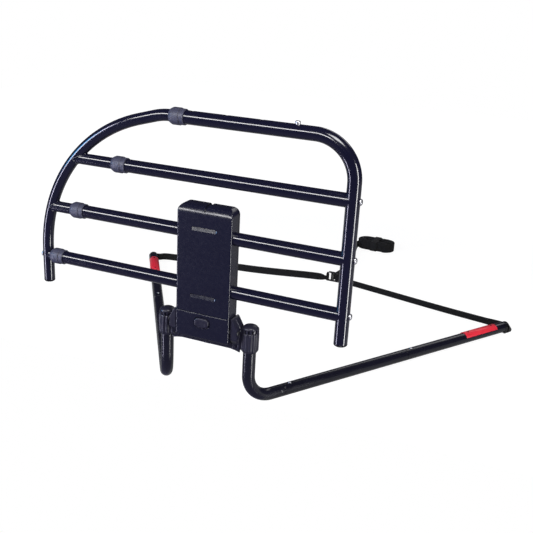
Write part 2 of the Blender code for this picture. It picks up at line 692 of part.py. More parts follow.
def release_button(mats, group):
    """Oval push button: a crowned face, a retaining lip behind the wall and a stem to the leaf."""
    face = HOUSE_FRONT - BUTTON_PROUD
    lip = HOUSE_IN_FRONT + GAP * 1.5
    layers = [(0.55, face), (0.86, face + 0.0006), (0.97, face + 0.0016), (1.0, face + 0.0030),
              (1.0, lip)]
    bm = bmesh.new()
    rings = []
    for share, y in layers:
        rings.append([bm.verts.new((x * share, y, z * share + BUTTON_Z))
                      for x, z in oval(BUTTON_HALF_X, BUTTON_HALF_Z)])
    for y in (lip, lip + BUTTON_LIP):
        rings.append([bm.verts.new((x, y, z + BUTTON_Z))
                      for x, z in oval(BUTTON_HALF_X + BUTTON_LIP, BUTTON_HALF_Z + BUTTON_LIP)])
    skin(bm, rings)
    bm.faces.new(rings[0])
    bm.faces.new(rings[-1])
    button = finish(bm, "release_button", mats["plastic"], group)
    stem_end = LEAF_FRONT - BUTTON_PLAY
    join(button, rod("join_button_stem", (0, lip, BUTTON_Z), (0, stem_end, BUTTON_Z), BUTTON_STEM_R,
                     mats["plastic"], group, 12))


# ---------------------------------------------------------------- base
def ear_outline():
    """Side view of a yoke ear as (y, z) pairs: a plate with round top corners."""
    front, back = HOUSE_FRONT, HOUSE_BACK
    points = [(front + 0.006, BEAM_BOTTOM)]
    points += arc((front + EAR_ROUND, EAR_TOP - EAR_ROUND), EAR_ROUND, math.pi, math.pi / 2, 4)
    points += arc((back - EAR_ROUND, EAR_TOP - EAR_ROUND), EAR_ROUND, math.pi / 2, 0, 4)
    points.append((back, BEAM_BOTTOM))
    return points


def base_yoke(mats, group):
    """One casting: two leg sockets, two pivot ears and the beam that joins them."""
    satin = mats["yoke"]
    yoke = block("base_yoke", (-EAR_OUT, EAR_OUT), (BEAM_FRONT, BEAM_BACK), (BEAM_BOTTOM, BEAM_TOP),
                 satin, group)
    join(yoke, block("join_beam_skirt", (-EAR_OUT, EAR_OUT),
                     (BEAM_FRONT - 0.0002, BEAM_FRONT + SKIRT_SHEET),
                     (BEAM_BOTTOM - SKIRT, BEAM_BOTTOM + 0.002), satin, group))
    for sign, side in ((-1, "left"), (1, "right")):
        outline = [(sign * EAR_IN, y, z) for y, z in ear_outline()]
        ear = prism(f"join_ear_{side}", outline, (sign * (EAR_OUT - EAR_IN), 0, 0), satin, group)
        soften(ear, 0.0025, 2, 40)
        socket = rod(f"join_socket_{side}", (sign * LEG_X, LEG_Y, SOCKET_BOTTOM),
                     (sign * LEG_X, LEG_Y, SOCKET_TOP), SOCKET_R, satin, group, 24)
        web_x = sorted((sign * (EAR_OUT - 0.001), sign * (LEG_X - SOCKET_R + 0.003)))
        web = block(f"join_web_{side}", web_x, (BEAM_FRONT, HOUSE_BACK - 0.001),
                    (BEAM_BOTTOM, SOCKET_TOP - 0.001), satin, group)
        join(yoke, ear, web, socket)
        cut(yoke, rod(f"cut_socket_{side}", (sign * LEG_X, LEG_Y, SOCKET_BOTTOM - 0.02),
                      (sign * LEG_X, LEG_Y, SOCKET_TOP + 0.02), LEG_R + GAP * 2, satin, group))
        cut(yoke, rod(f"cut_ear_pin_{side}", (sign * (EAR_IN - 0.01), PIVOT_Y, PIVOT_Z),
                      (sign * (EAR_OUT + 0.01), PIVOT_Y, PIVOT_Z), PIN_R + GAP * 1.2, satin, group,
                      16))


def pivot_pins(mats, group):
    for sign, side in ((-1, "left"), (1, "right")):
        length = EAR_OUT + GAP * 1.2 - PIN_INNER_X
        profile = [(PIN_R * 0.8, 0), (PIN_R, 0.0008), (PIN_R, length), (PIN_HEAD_R, length),
                   (PIN_HEAD_R, length + PIN_HEAD * 0.6), (PIN_HEAD_R * 0.7, length + PIN_HEAD)]
        turned(f"pivot_pin_{side}", profile, (sign * PIN_INNER_X, PIVOT_Y, PIVOT_Z), (sign, 0, 0),
               mats["steel"], group, 16)


def dome_caps(mats, group):
    """Castellated caps that close the sockets and key the legs."""
    height = DOME_TOP - SOCKET_TOP
    rim = height * 0.42
    for sign, side in ((-1, "left"), (1, "right")):
        profile = [(SOCKET_R, GAP), (SOCKET_R, rim)]
        profile += [(SOCKET_R * math.cos(a), rim + (height - rim) * math.sin(a))
                    for a in (math.radians(25), math.radians(50), math.radians(75))]
        cap = turned(f"leg_dome_cap_{side}", profile, (sign * LEG_X, LEG_Y, SOCKET_TOP), (0, 0, 1),
                     mats["yoke"], group, 24)
        for k in range(DOME_TEETH):
            turn = 2 * math.pi * (k + 0.5) / DOME_TEETH
            way = Vector((math.cos(turn), math.sin(turn), 0))
            across = Vector((-way.y, way.x, 0)) * 0.0014
            centre = Vector((sign * LEG_X, LEG_Y, SOCKET_TOP))
            inner, outer = centre + way * (SOCKET_R - 0.0022), centre + way * (SOCKET_R + 0.002)
            outline = [inner - across, outer - across, outer + across, inner + across]
            outline = [p - Vector((0, 0, 0.002)) for p in outline]
            cut(cap, prism(f"cut_tooth_{side}_{k}", outline, (0, 0, rim + 0.0004), mats["yoke"],
                           group))


# ---------------------------------------------------------------- legs
def leg_way(sign):
    return Vector((sign * math.sin(LEG_SPLAY), math.cos(LEG_SPLAY), 0))


def leg_point(sign, along, height=LEG_R):
    """A point over the leg's floor line, a distance from the foot of its upright."""
    return Vector((sign * LEG_X, LEG_Y, height)) + leg_way(sign) * along


def leg_side(sign):
    way = leg_way(sign)
    return Vector((-way.y, way.x, 0))


def spigot_tube(name, path, bore, sign, end_along, mat, group):
    """A leg tube whose far end is drawn down to a spigot that enters the next tube."""
    step = leg_point(sign, end_along + GAP / 3)
    tip = leg_point(sign, end_along + SPIGOT)
    points = path + [leg_point(sign, end_along), step, tip]
    outers = [LEG_R] * (len(path) + 1) + [SPIGOT_R] * 2
    bores = [bore] * (len(path) + 1) + [SPIGOT_R - LEG_WALL] * 2
    return pipe(name, points, leg_side(sign), outers, bores, mat, group)


def leg_snap(name, sign, seam, tubes, mat, group):
    """Spring button through a leg joint, drilled into both of its tubes."""
    at = leg_point(sign, seam + SPIGOT - LEG_SNAP_BACK)
    up = Vector((0, 0, 1))
    for k, tube in enumerate(tubes):
        cut(tube, drill(f"cut_{name}_{k}", at, at + up * LEG_R * 1.5, LEG_SNAP_R + GAP * 1.5, mat,
                        group))
    profile = [(LEG_SNAP_R + 0.001, LEG_SNAP_TOP - LEG_SNAP_FLANGE),
               (LEG_SNAP_R + 0.001, LEG_SNAP_TOP), (LEG_SNAP_R, LEG_SNAP_TOP),
               (LEG_SNAP_R, LEG_R + 0.0008), (LEG_SNAP_R * 0.6, LEG_R + 0.0018)]
    turned(name, profile, at, up, mat, group, 12)


def legs(mats, group):
    paint = mats["leg_paint"]
    for sign, side in ((-1, "left"), (1, "right")):
        way = leg_way(sign)
        foot = Vector((sign * LEG_X, LEG_Y, 0))
        bend = [foot + way * (LEG_BEND - x) + Vector((0, 0, LEG_R + LEG_BEND - z))
                for x, z in arc((0, 0), LEG_BEND, 0, math.pi / 2, 8)]
        upright = [foot + Vector((0, 0, SOCKET_TOP - GAP))]
        elbow = spigot_tube(f"leg_elbow_{side}", upright + bend, LEG_BORE, sign, LEG_SEAMS[0], paint,
                            group)
        middle = spigot_tube(f"leg_middle_tube_{side}", [leg_point(sign, LEG_SEAMS[0] + GAP * 1.5)],
                             LEG_BORE, sign, LEG_SEAMS[1], paint, group)
        last = pipe(f"leg_end_tube_{side}",
                    [leg_point(sign, LEG_SEAMS[1] + GAP * 1.5), leg_point(sign, LEG_REACH)],
                    leg_side(sign), LEG_R, LEG_BORE, paint, group)
        leg_snap(f"leg_snap_near_{side}", sign, LEG_SEAMS[0], (elbow, middle), mats["steel"], group)
        leg_snap(f"leg_snap_far_{side}", sign, LEG_SEAMS[1], (middle, last), mats["steel"], group)
        end_cap(side, sign, mats, group)
        label(side, sign, mats, group)


def end_cap(side, sign, mats, group):
    """Black cap on the leg's end: a plug in the tube and a block with a flat foot and strap slot."""
    way, across = leg_way(sign), leg_side(sign)
    face = leg_point(sign, LEG_REACH + GAP)
    half = LEG_R
    outline = arc((0, LEG_R), half, 0, math.pi, 6) + [(-half, 0), (half, 0)]
    points = [face + across * a + Vector((0, 0, h - LEG_R)) for a, h in outline]
    cap = prism(f"leg_end_cap_{side}", points, way * CAP_LENGTH, mats["plastic"], group)
    soften(cap, 0.0015, 2, 50)
    join(cap, rod(f"join_cap_plug_{side}", leg_point(sign, LEG_REACH + GAP + 0.002),
                  leg_point(sign, LEG_REACH - CAP_PLUG), LEG_BORE - GAP * 1.3, mats["plastic"], group))
    slot_height = STRAP_WIDTH - 0.001
    low = leg_point(sign, LEG_REACH + CAP_LENGTH * CAP_SLOT_AT) - Vector((0, 0, slot_height / 2))
    reach = across * (LEG_R + 0.01)
    half_slot = way * CAP_SLOT / 2
    outline = [low - half_slot - reach, low + half_slot - reach, low + half_slot + reach,
               low - half_slot + reach]
    cut(cap, prism(f"cut_cap_slot_{side}", outline, (0, 0, slot_height), mats["plastic"], group))


def label(side, sign, mats, group):
    """Plain red band wrapped half round the top of the leg tube near its end."""
    across = leg_side(sign)
    r = LEG_R + GAP * 1.2
    low, high = math.radians(12), math.radians(168)
    inside = arc((0, 0), r, low, high, 8)
    outside = arc((0, 0), r + LABEL_SHEET, high, low, 8)
    start = leg_point(sign, LEG_REACH - LABEL_START - LABEL_LENGTH)
    points = [start + across * a + Vector((0, 0, h)) for a, h in inside + outside]
    prism(f"leg_label_{side}", points, leg_way(sign) * LABEL_LENGTH, mats["label"], group)


# ---------------------------------------------------------------- strap
def band(name, path, mat, group):
    """Webbing that stands on its edge along a path over the floor."""
    return strip(name, path, (0, 0, 1), STRAP_WIDTH / 2, STRAP_SHEET, mat, group)


def smooth_run(points, steps):
    """Catmull-Rom curve through the points of a strap's run."""
    padded = [points[0] * 2 - points[1]] + points + [points[-1] * 2 - points[-2]]
    run = []
    for i in range(len(points) - 1):
        a, b, c, d = padded[i:i + 4]
        for k in range(steps):
            t = k / steps
            run.append(0.5 * ((2 * b) + (c - a) * t + (2 * a - 5 * b + 4 * c - d) * t ** 2
                              + (3 * b - a - 3 * c + d) * t ** 3))
    run.append(points[-1])
    return run


def strap(mats, group):
    webbing, plastic = mats["webbing"], mats["plastic"]
    buckle = Vector((BUCKLE_X, BUCKLE_Y, STRAP_Z))
    half = BUCKLE_LENGTH / 2
    entry = LEG_REACH + CAP_LENGTH * CAP_SLOT_AT
    out = LEG_R + 0.002
    left = leg_point(-1, entry, STRAP_Z) - leg_side(-1) * out
    right = leg_point(1, entry, STRAP_Z) + leg_side(1) * out
    left_run = [left, left + Vector((0.045, 0.018, 0)),
                Vector((-0.215, 0.697, STRAP_Z)), buckle - Vector((half + 0.001, 0.004, 0))]
    right_run = [buckle + Vector((half + 0.001, -0.003, 0)), Vector((0.150, 0.722, STRAP_Z)),
                 Vector((0.330, 0.672, STRAP_Z)), right]
    band("strap_left", smooth_run(left_run, 5), webbing, group)
    band("strap_right", smooth_run(right_run, 5), webbing, group)
    hank_front = Vector((HANK_X - HANK_LENGTH * 0.42, HANK_Y - HANK_DEPTH * 0.20, STRAP_Z))
    tail = [buckle + Vector((0.002, BUCKLE_SHEET / 2 + 0.003, 0)), Vector((0.022, 0.86, STRAP_Z)),
            Vector((0.006, 0.97, STRAP_Z)), hank_front - Vector((0.004, 0.020, 0))]
    band("strap_tail", smooth_run(tail, 5), webbing, group)
    frame = block("strap_buckle", (BUCKLE_X - half, BUCKLE_X + half),
                  (BUCKLE_Y - BUCKLE_SHEET / 2, BUCKLE_Y + BUCKLE_SHEET / 2),
                  (0, BUCKLE_WIDTH), plastic, group)
    soften(frame, 0.0012, 1, 50)
    for sign in (-1, 1):
        x = sorted((BUCKLE_X + sign * BUCKLE_BAR * 0.6, BUCKLE_X + sign * (half - BUCKLE_BAR)))
        cut(frame, block(f"cut_buckle_{'left' if sign < 0 else 'right'}", x,
                         (BUCKLE_Y - BUCKLE_SHEET, BUCKLE_Y + BUCKLE_SHEET),
                         (BUCKLE_BAR, BUCKLE_WIDTH - BUCKLE_BAR), plastic, group))
    hank(webbing, mats["elastic"], group)


def hank_outline():
    """Top view of the folded webbing: a long loop with round ends."""
    radius = HANK_DEPTH / 2
    reach = (HANK_LENGTH - HANK_DEPTH) / 2
    points = arc((HANK_X + reach, HANK_Y), radius, -math.pi / 2, math.pi / 2, 8)
    points += arc((HANK_X - reach, HANK_Y), radius, math.pi / 2, 1.5 * math.pi, 8)
    return points


def hank(webbing, elastic, group):
    """The spare webbing folded into a hank, with an elastic keeper round its middle."""
    low = STRAP_Z - STRAP_WIDTH / 2
    top = low + STRAP_WIDTH + HANK_RISE
    solid = [(x, y, low) for x, y in hank_outline()]
    prism("strap_hank", solid, (0, 0, top - low), webbing, group)
    reach = HANK_DEPTH / 2 + KEEPER_GAP
    y_in = (HANK_Y - reach, HANK_Y + reach)
    y = (y_in[0] - KEEPER_SHEET, y_in[1] + KEEPER_SHEET)
    x = (HANK_X - KEEPER_WIDTH / 2, HANK_X + KEEPER_WIDTH / 2)
    keeper = block("strap_keeper", x, y, (low, top + KEEPER_GAP + KEEPER_SHEET), elastic, group)
    cut(keeper, block("cut_keeper", (x[0] - 0.01, x[1] + 0.01), y_in, (low - 0.01, top + KEEPER_GAP),
                      elastic, group))


# ---------------------------------------------------------------- assembly
def make_materials():
    return {
        "paint": material("gloss_navy_black", (0.012, 0.012, 0.035), 0.22, 0.3),
        "leg_paint": material("satin_navy_black", (0.015, 0.015, 0.035), 0.38, 0.2),
        "steel": material("zinc_steel", (0.45, 0.45, 0.47), 0.35, 1.0),
        "collar": material("grey_plastic", (0.075, 0.075, 0.115), 0.5),
        "housing": material("housing_plastic", (0.02, 0.02, 0.045), 0.38),
        "yoke": material("yoke_casting", (0.03, 0.03, 0.06), 0.45),
        "plastic": material("black_plastic", (0.008, 0.008, 0.01), 0.25),
        "nylon": material("nylon", (0.75, 0.74, 0.70), 0.5),
        "webbing": material("black_webbing", (0.01, 0.01, 0.011), 0.85),
        "elastic": material("black_elastic", (0.012, 0.012, 0.014), 0.8),
        "label": material("red_label", (0.70, 0.03, 0.06), 0.4),
    }


def centre_on_origin(assembly):
    """Move the assembly so that its box is centred on X and Y and stands on z = 0."""
    bpy.context.view_layer.update()
    depsgraph = bpy.context.evaluated_depsgraph_get()
    low, high = Vector((math.inf,) * 3), Vector((-math.inf,) * 3)
    for obj in bpy.data.objects:
        if obj.type != "MESH" or obj.hide_render:
            continue
        evaluated = obj.evaluated_get(depsgraph)
        for vert in evaluated.data.vertices:
            world = obj.matrix_world @ vert.co
            low = Vector(map(min, low, world))
            high = Vector(map(max, high, world))
    assembly.location = (-(low.x + high.x) / 2, -(low.y + high.y) / 2, -low.z)
    bpy.context.view_layer.update()


def main():
    clear_scene()
    mats = make_materials()
    assembly = empty("assembly", (0, 0, 0))
    base = empty("base", (0, 0, 0), assembly)
    fold = empty("rail_fold_axis", (0, PIVOT_Y, PIVOT_Z), assembly)
    slide = empty("rail_extend_axis", (RAIL_LEFT_X, 0, BAR_TOP_Z), fold)
    snap = empty("snap_button_axis", (SNAP_X, 0, BAR_TOP_Z), slide)
    push = empty("release_button_axis", (0, HOUSE_FRONT, BUTTON_Z), fold)
    base_yoke(mats, base)
    pivot_pins(mats, base)
    dome_caps(mats, base)
    legs(mats, base)
    strap(mats, base)
    outer_rail(mats, fold)
    housing(mats, fold)
    spine(mats, fold)
    bushes(mats, fold)
    latch_leaf(mats, fold)
    release_button(mats, push)
    inner_rail(mats, slide)
    snap_button(mats["steel"], snap)
    centre_on_origin(assembly)


main()
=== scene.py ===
"""Looks of the bed assist rail: detailed pieces, materials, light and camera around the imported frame.

X runs along the rail, Y from the rail towards the bed, Z up; metres.
"""
import json
import math

import bmesh
import bpy
from mathutils import Matrix, Vector
from mathutils.bvhtree import BVHTree


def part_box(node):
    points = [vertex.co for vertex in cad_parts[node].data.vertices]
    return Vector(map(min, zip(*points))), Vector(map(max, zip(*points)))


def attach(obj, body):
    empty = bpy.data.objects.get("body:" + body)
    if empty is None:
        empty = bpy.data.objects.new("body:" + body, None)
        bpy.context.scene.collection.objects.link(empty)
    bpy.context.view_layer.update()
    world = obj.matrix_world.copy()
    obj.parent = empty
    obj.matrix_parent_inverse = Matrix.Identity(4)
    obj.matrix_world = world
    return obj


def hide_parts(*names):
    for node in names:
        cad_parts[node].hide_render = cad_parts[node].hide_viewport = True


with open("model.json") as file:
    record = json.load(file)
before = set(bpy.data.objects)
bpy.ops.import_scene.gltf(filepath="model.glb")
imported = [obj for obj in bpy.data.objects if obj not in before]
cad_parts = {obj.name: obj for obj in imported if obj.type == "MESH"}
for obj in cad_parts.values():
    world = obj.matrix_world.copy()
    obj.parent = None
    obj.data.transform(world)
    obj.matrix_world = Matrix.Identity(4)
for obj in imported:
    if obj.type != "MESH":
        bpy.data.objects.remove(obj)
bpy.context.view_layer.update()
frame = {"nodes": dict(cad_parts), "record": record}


# ================================================================ sizes, from the frame
def low(node):
    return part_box(node)[0]


def high(node):
    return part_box(node)[1]


def middle(node):
    return (low(node) + high(node)) / 2


GAP = 0.0003
SIDES = 56

RAIL_Y = middle("outer_frame_tube").y
OUTER_R = (high("outer_frame_tube").y - low("outer_frame_tube").y) / 2
INNER_R = (high("inner_frame_tube").y - low("inner_frame_tube").y) / 2
WALL = 0.0012
RIGHT_X = high("outer_frame_tube").x - OUTER_R
LEFT_X = low("inner_frame_tube").x + INNER_R
BARS = ("upper", "middle", "lower")
TOP_Z = high("outer_frame_tube").z - OUTER_R
BAR_Z = {name: middle(f"outer_crossbar_{name}").z for name in BARS}
FOOT_Z = low("outer_frame_tube").z
COLLARS = {"top": TOP_Z, **BAR_Z}
COLLAR_X = {name: low(f"collar_{name}").x for name in COLLARS}
COLLAR_R = (high("collar_top").y - low("collar_top").y) / 2
COLLAR_LENGTH = high("collar_top").x - low("collar_top").x
COLLAR_LIP = 0.006
RIGHT_BEND = 0.075
SHOULDER_BEND = 0.120
SHOULDER_ANGLE = math.radians(16)
SIDE_BEND = 0.300
SHOULDER_X = COLLAR_X["top"] - 0.0005
SNAP_X = middle("snap_button").x
SNAP_R = 0.0047
SNAP_PITCH = 0.203 / 3
SNAP_TOP = high("snap_button").z

HOUSE_HALF = high("housing_front_cover").x
HOUSE_FRONT = low("housing_front_cover").y
HOUSE_SPLIT = high("housing_front_cover").y
HOUSE_BACK = high("housing_rear_cover").y
HOUSE_TOP = high("housing_front_cover").z
HOUSE_SEAM = (low("housing_front_cover").z + high("housing_lower_cover").z) / 2
HOUSE_BOTTOM = low("housing_lower_cover").z
SHOULDER = 0.0185
SEAM = 0.0006

PIVOT = Vector((0, RAIL_Y - 0.0085, 0.160))
LEG_X = middle("leg_dome_cap_right").x
LEG_Y = middle("leg_dome_cap_right").y
LEG_R = 0.0127
SOCKET_R = (high("leg_dome_cap_right").x - low("leg_dome_cap_right").x) / 2
SOCKET_TOP = low("leg_dome_cap_right").z
DOME_TOP = high("leg_dome_cap_right").z
SOCKET_BOTTOM = 0.118
LEG_SPLAY = math.radians(32.8)
LEG_REACH = 0.742
LEG_BEND = 0.055
LEG_SEAMS = (0.084, 0.420)
SPIGOT = 0.036
SPIGOT_R = 0.0111
PIN_ALONG = 0.018

CAP_LENGTH = 0.026
CAP_SLOT = 0.42
LABEL_LENGTH = 0.105
LABEL_START = 0.030

STRAP_Z = 0.0112
STRAP_WIDTH = 0.020
STRAP_SHEET = 0.0018
BUCKLE = middle("strap_buckle")
BUCKLE_SIZE = high("strap_buckle") - low("strap_buckle")
HANK = middle("strap_hank")
HANK_SIZE = high("strap_hank") - low("strap_hank")


# ================================================================ mesh helpers
def arc(centre, radius, start, end, steps):
    """Points of an arc in a plane, as (first, second) pairs; angles in radians."""
    points = []
    for k in range(steps + 1):
        a = start + (end - start) * k / steps
        points.append((centre[0] + radius * math.cos(a), centre[1] + radius * math.sin(a)))
    return points


def lerp(a, b, t):
    return a + (b - a) * t


def ease(t):
    t = min(max(t, 0.0), 1.0)
    return t * t * (3 - 2 * t)


def tangents(path, closed=False):
    found = []
    count = len(path)
    for i in range(count):
        before = path[i - 1] if closed or i else path[0]
        after = path[(i + 1) % count] if closed or i < count - 1 else path[-1]
        found.append((after - before).normalized())
    return found


def circle(centre, tangent, side, radius, sides):
    up = side.cross(tangent).normalized()
    return [centre + radius * (math.cos(a) * side + math.sin(a) * up)
            for a in (2 * math.pi * k / sides for k in range(sides))]


def add_rings(bm, rings, closed=False, ends=True):
    """Skin a list of point rings; returns the rows of new vertices."""
    rows = [[bm.verts.new(p) for p in r] for r in rings]
    pairs = list(zip(rows, rows[1:]))
    if closed:
        pairs.append((rows[-1], rows[0]))
    for a, b in pairs:
        count = len(a)
        for k in range(count):
            bm.faces.new((a[k], a[(k + 1) % count], b[(k + 1) % count], b[k]))
    if ends and not closed:
        bm.faces.new(rows[0][::-1])
        bm.faces.new(rows[-1])
    return rows


def to_object(bm, name, mats, sharp=32):
    bmesh.ops.recalc_face_normals(bm, faces=bm.faces)
    mesh = bpy.data.meshes.new(name)
    bm.to_mesh(mesh)
    bm.free()
    mesh.shade_smooth()
    mesh.set_sharp_from_angle(angle=math.radians(sharp))
    for mat in mats if isinstance(mats, (list, tuple)) else [mats]:
        mesh.materials.append(mat)
    obj = bpy.data.objects.new(name, mesh)
    bpy.context.scene.collection.objects.link(obj)
    return obj


def apply_modifiers(obj):
    bpy.context.view_layer.update()
    graph = bpy.context.evaluated_depsgraph_get()
    obj.data = bpy.data.meshes.new_from_object(obj.evaluated_get(graph), depsgraph=graph)
    obj.modifiers.clear()


def bake(obj, sharp=32):
    """Apply the object's modifiers and shade the new mesh."""
    apply_modifiers(obj)
    obj.data.shade_smooth()
    obj.data.set_sharp_from_angle(angle=math.radians(sharp))
    return obj


def boolean(obj, tools):
    """Cut the tools out of the object and remove them."""
    for tool in tools:
        modifier = obj.modifiers.new("cut", "BOOLEAN")
        modifier.operation = "DIFFERENCE"
        modifier.solver = "EXACT"
        modifier.object = tool
    bake(obj)
    for tool in tools:
        bpy.data.objects.remove(tool, do_unlink=True)
    return obj


def round_edges(obj, width, segments=2, limit=38):
    """Bevel the sharp edges and keep the flat faces flat in the shading."""
    modifier = obj.modifiers.new("edges", "BEVEL")
    modifier.width = width
    modifier.segments = segments
    modifier.limit_method = "ANGLE"
    modifier.angle_limit = math.radians(limit)
    modifier.use_clamp_overlap = True
    bake(obj, 17)
    flat = obj.modifiers.new("flat", "WEIGHTED_NORMAL")
    flat.weight = 100
    flat.keep_sharp = True
    apply_modifiers(obj)


def tube(name, path, outer, bore, side, mat, sides=SIDES, lip=0.0004):
    """Tube along a flat path with a small round at each end; bore 0 makes a rod."""
    side = Vector(side).normalized()
    ways = tangents(path)
    outers = outer if isinstance(outer, list) else [outer] * len(path)
    start, end = path[0] + ways[0] * lip, path[-1] - ways[-1] * lip
    points = [path[0], start] + path[1:-1] + [end, path[-1]]
    radii = [outers[0] - lip, outers[0]] + outers[1:-1] + [outers[-1], outers[-1] - lip]
    ways = [ways[0]] + ways + [ways[-1]]
    rings = [circle(p, w, side, r, sides) for p, w, r in zip(points, ways, radii)]
    bm = bmesh.new()
    if bore:
        bores = bore if isinstance(bore, list) else [bore] * len(path)
        bores = [bores[0]] + bores + [bores[-1]]
        inner = [circle(p, w, side, r, sides) for p, w, r in zip(points, ways, bores)]
        add_rings(bm, rings + inner[::-1], closed=True)
    else:
        add_rings(bm, rings)
    return to_object(bm, name, mat)


def turned(name, profile, start, way, mat, sides=SIDES, closed=False, shape=None, sharp=32):
    """Turn (radius, height) points about an axis.  shape(angle, row) scales a radius."""
    start, way = Vector(start), Vector(way).normalized()
    side = Vector((0, 1, 0)) if abs(way.y) < 0.9 else Vector((1, 0, 0))
    up = side.cross(way).normalized()
    rings = []
    for row, (radius, height) in enumerate(profile):
        ring = []
        for k in range(sides):
            a = 2 * math.pi * k / sides
            r = radius * (shape(a, row) if shape else 1)
            ring.append(start + way * height + (side * math.cos(a) + up * math.sin(a)) * r)
        rings.append(ring)
    bm = bmesh.new()
    add_rings(bm, rings, closed)
    return to_object(bm, name, mat, sharp)


def prism(name, outline, lift, mat=None):
    outline = [Vector(p) for p in outline]
    bm = bmesh.new()
    add_rings(bm, [outline, [p + Vector(lift) for p in outline]])
    return to_object(bm, name, mat)


def block(name, x, y, z, mat=None):
    corners = [(x[0], y[0], z[0]), (x[1], y[0], z[0]), (x[1], y[1], z[0]), (x[0], y[1], z[0])]
    return prism(name, corners, (0, 0, z[1] - z[0]), mat)


def rod(name, start, end, radius):
    way = Vector(end) - Vector(start)
    return turned(name, [(radius, 0), (radius, way.length)], start, way, None, 40)


def joined(name, objects, mats, sharp=32):
    """One object from several overlapping or separate meshes."""
    bm = bmesh.new()
    for obj in objects:
        bm.from_mesh(obj.data)
        bpy.data.objects.remove(obj, do_unlink=True)
    return to_object(bm, name, mats, sharp)


def place(obj, body, nodes):
    """Put a finished piece on its body, in place of its CAD nodes."""
    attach(obj, body)
    if nodes:
        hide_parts(*([nodes] if isinstance(nodes, str) else nodes))
    return obj


# ================================================================ materials
def add_node(tree, kind, **values):
    """A node with its inputs or settings given by name."""
    made = tree.nodes.new(kind)
    for key, value in values.items():
        if key in made.inputs:
            made.inputs[key].default_value = value
        else:
            setattr(made, key, value)
    return made


class Shader:
    """A Principled material and short calls for the nodes that feed it."""

    def __init__(self, name, colour, roughness, metallic=0.0, **sockets):
        self.mat = bpy.data.materials.new(name)
        self.mat.use_nodes = True
        self.tree = self.mat.node_tree
        self.main = self.tree.nodes["Principled BSDF"]
        self.set("Base Color", (*colour, 1))
        self.set("Roughness", roughness)
        self.set("Metallic", metallic)
        for key, value in sockets.items():
            self.set(key.replace("_", " "), value)
        self.height = None

    def set(self, socket, value):
        self.main.inputs[socket].default_value = value

    def node(self, kind, **values):
        return add_node(self.tree, kind, **values)

    def link(self, a, b):
        self.tree.links.new(a, b)

    def coords(self, scale):
        mapping = self.node("ShaderNodeMapping", Scale=scale)
        self.link(self.node("ShaderNodeTexCoord").outputs["Object"], mapping.inputs["Vector"])
        return mapping.outputs["Vector"]

    def noise(self, scale, detail=3.0, stretch=(1, 1, 1)):
        made = self.node("ShaderNodeTexNoise", Scale=scale, Detail=detail, Roughness=0.5)
        self.link(self.coords(stretch), made.inputs["Vector"])
        return made.outputs["Fac"]

    def math(self, operation, a, b=None, c=None):
        made = self.node("ShaderNodeMath", operation=operation)
        for k, value in enumerate((a, b, c)):
            if value is None:
                continue
            if isinstance(value, (int, float)):
                made.inputs[k].default_value = value
            else:
                self.link(value, made.inputs[k])
        return made.outputs[0]

    def spread(self, fac, low_in, high_in, low_out, high_out, curve="LINEAR"):
        made = self.node("ShaderNodeMapRange", interpolation_type=curve)
        for k, value in zip(("From Min", "From Max", "To Min", "To Max"),
                            (low_in, high_in, low_out, high_out)):
            made.inputs[k].default_value = value
        self.link(fac, made.inputs["Value"])
        return made.outputs["Result"]

    def blend(self, fac, a, b):
        made = self.node("ShaderNodeMix", data_type="RGBA")
        made.inputs[6].default_value = (*a, 1)
        made.inputs[7].default_value = (*b, 1)
        self.link(fac, made.inputs[0])
        self.link(made.outputs[2], self.main.inputs["Base Color"])

    def rough(self, fac, smooth, dull):
        self.link(self.spread(fac, 0.35, 0.65, smooth, dull), self.main.inputs["Roughness"])

    def bump(self, height, depth, strength):
        """Stack a bump of that depth in metres."""
        made = self.node("ShaderNodeBump", Strength=strength, Distance=depth)
        self.link(height, made.inputs["Height"])
        if self.height is not None:
            self.link(self.height, made.inputs["Normal"])
        self.height = made.outputs["Normal"]
        self.link(self.height, self.main.inputs["Normal"])


def gloss_paint():
    """Gloss powder coat, blue-black, with uneven gloss."""
    s = Shader("gloss_paint", (0.005, 0.005, 0.016), 0.17, Coat_Weight=0.6, Coat_Roughness=0.06,
               Specular_IOR_Level=0.5)
    s.blend(s.noise(9, 2), (0.0040, 0.0040, 0.0140), (0.0065, 0.0065, 0.0200))
    s.rough(s.noise(30, 3), 0.15, 0.20)
    return s.mat


def leg_paint():
    """Satin powder coat, blue-black."""
    s = Shader("leg_paint", (0.006, 0.006, 0.014), 0.24, Coat_Weight=0.35, Coat_Roughness=0.13)
    s.blend(s.noise(14, 3), (0.0045, 0.0045, 0.0105), (0.0080, 0.0078, 0.0170))
    s.rough(s.noise(40, 3), 0.21, 0.28)
    return s.mat


def moulded(name, colour, lighter, roughness, grain=0, depth=0, gloss=0.5):
    """Moulded plastic with a fine erosion grain and slightly uneven gloss."""
    s = Shader(name, colour, roughness, Specular_IOR_Level=gloss)
    s.blend(s.noise(25, 3), colour, lighter)
    s.rough(s.noise(140, 3), roughness * 0.88, roughness * 1.12)
    if depth:
        s.bump(s.noise(grain, 2), depth, 0.5)
    return s.mat


def steel():
    """Zinc-plated steel: fine lines one way and soft blotches."""
    s = Shader("zinc_steel", (0.62, 0.62, 0.64), 0.38, 1.0)
    s.blend(s.noise(60, 3), (0.50, 0.50, 0.53), (0.68, 0.68, 0.70))
    s.rough(s.noise(900, 2, stretch=(1, 1, 0.06)), 0.32, 0.46)
    return s.mat


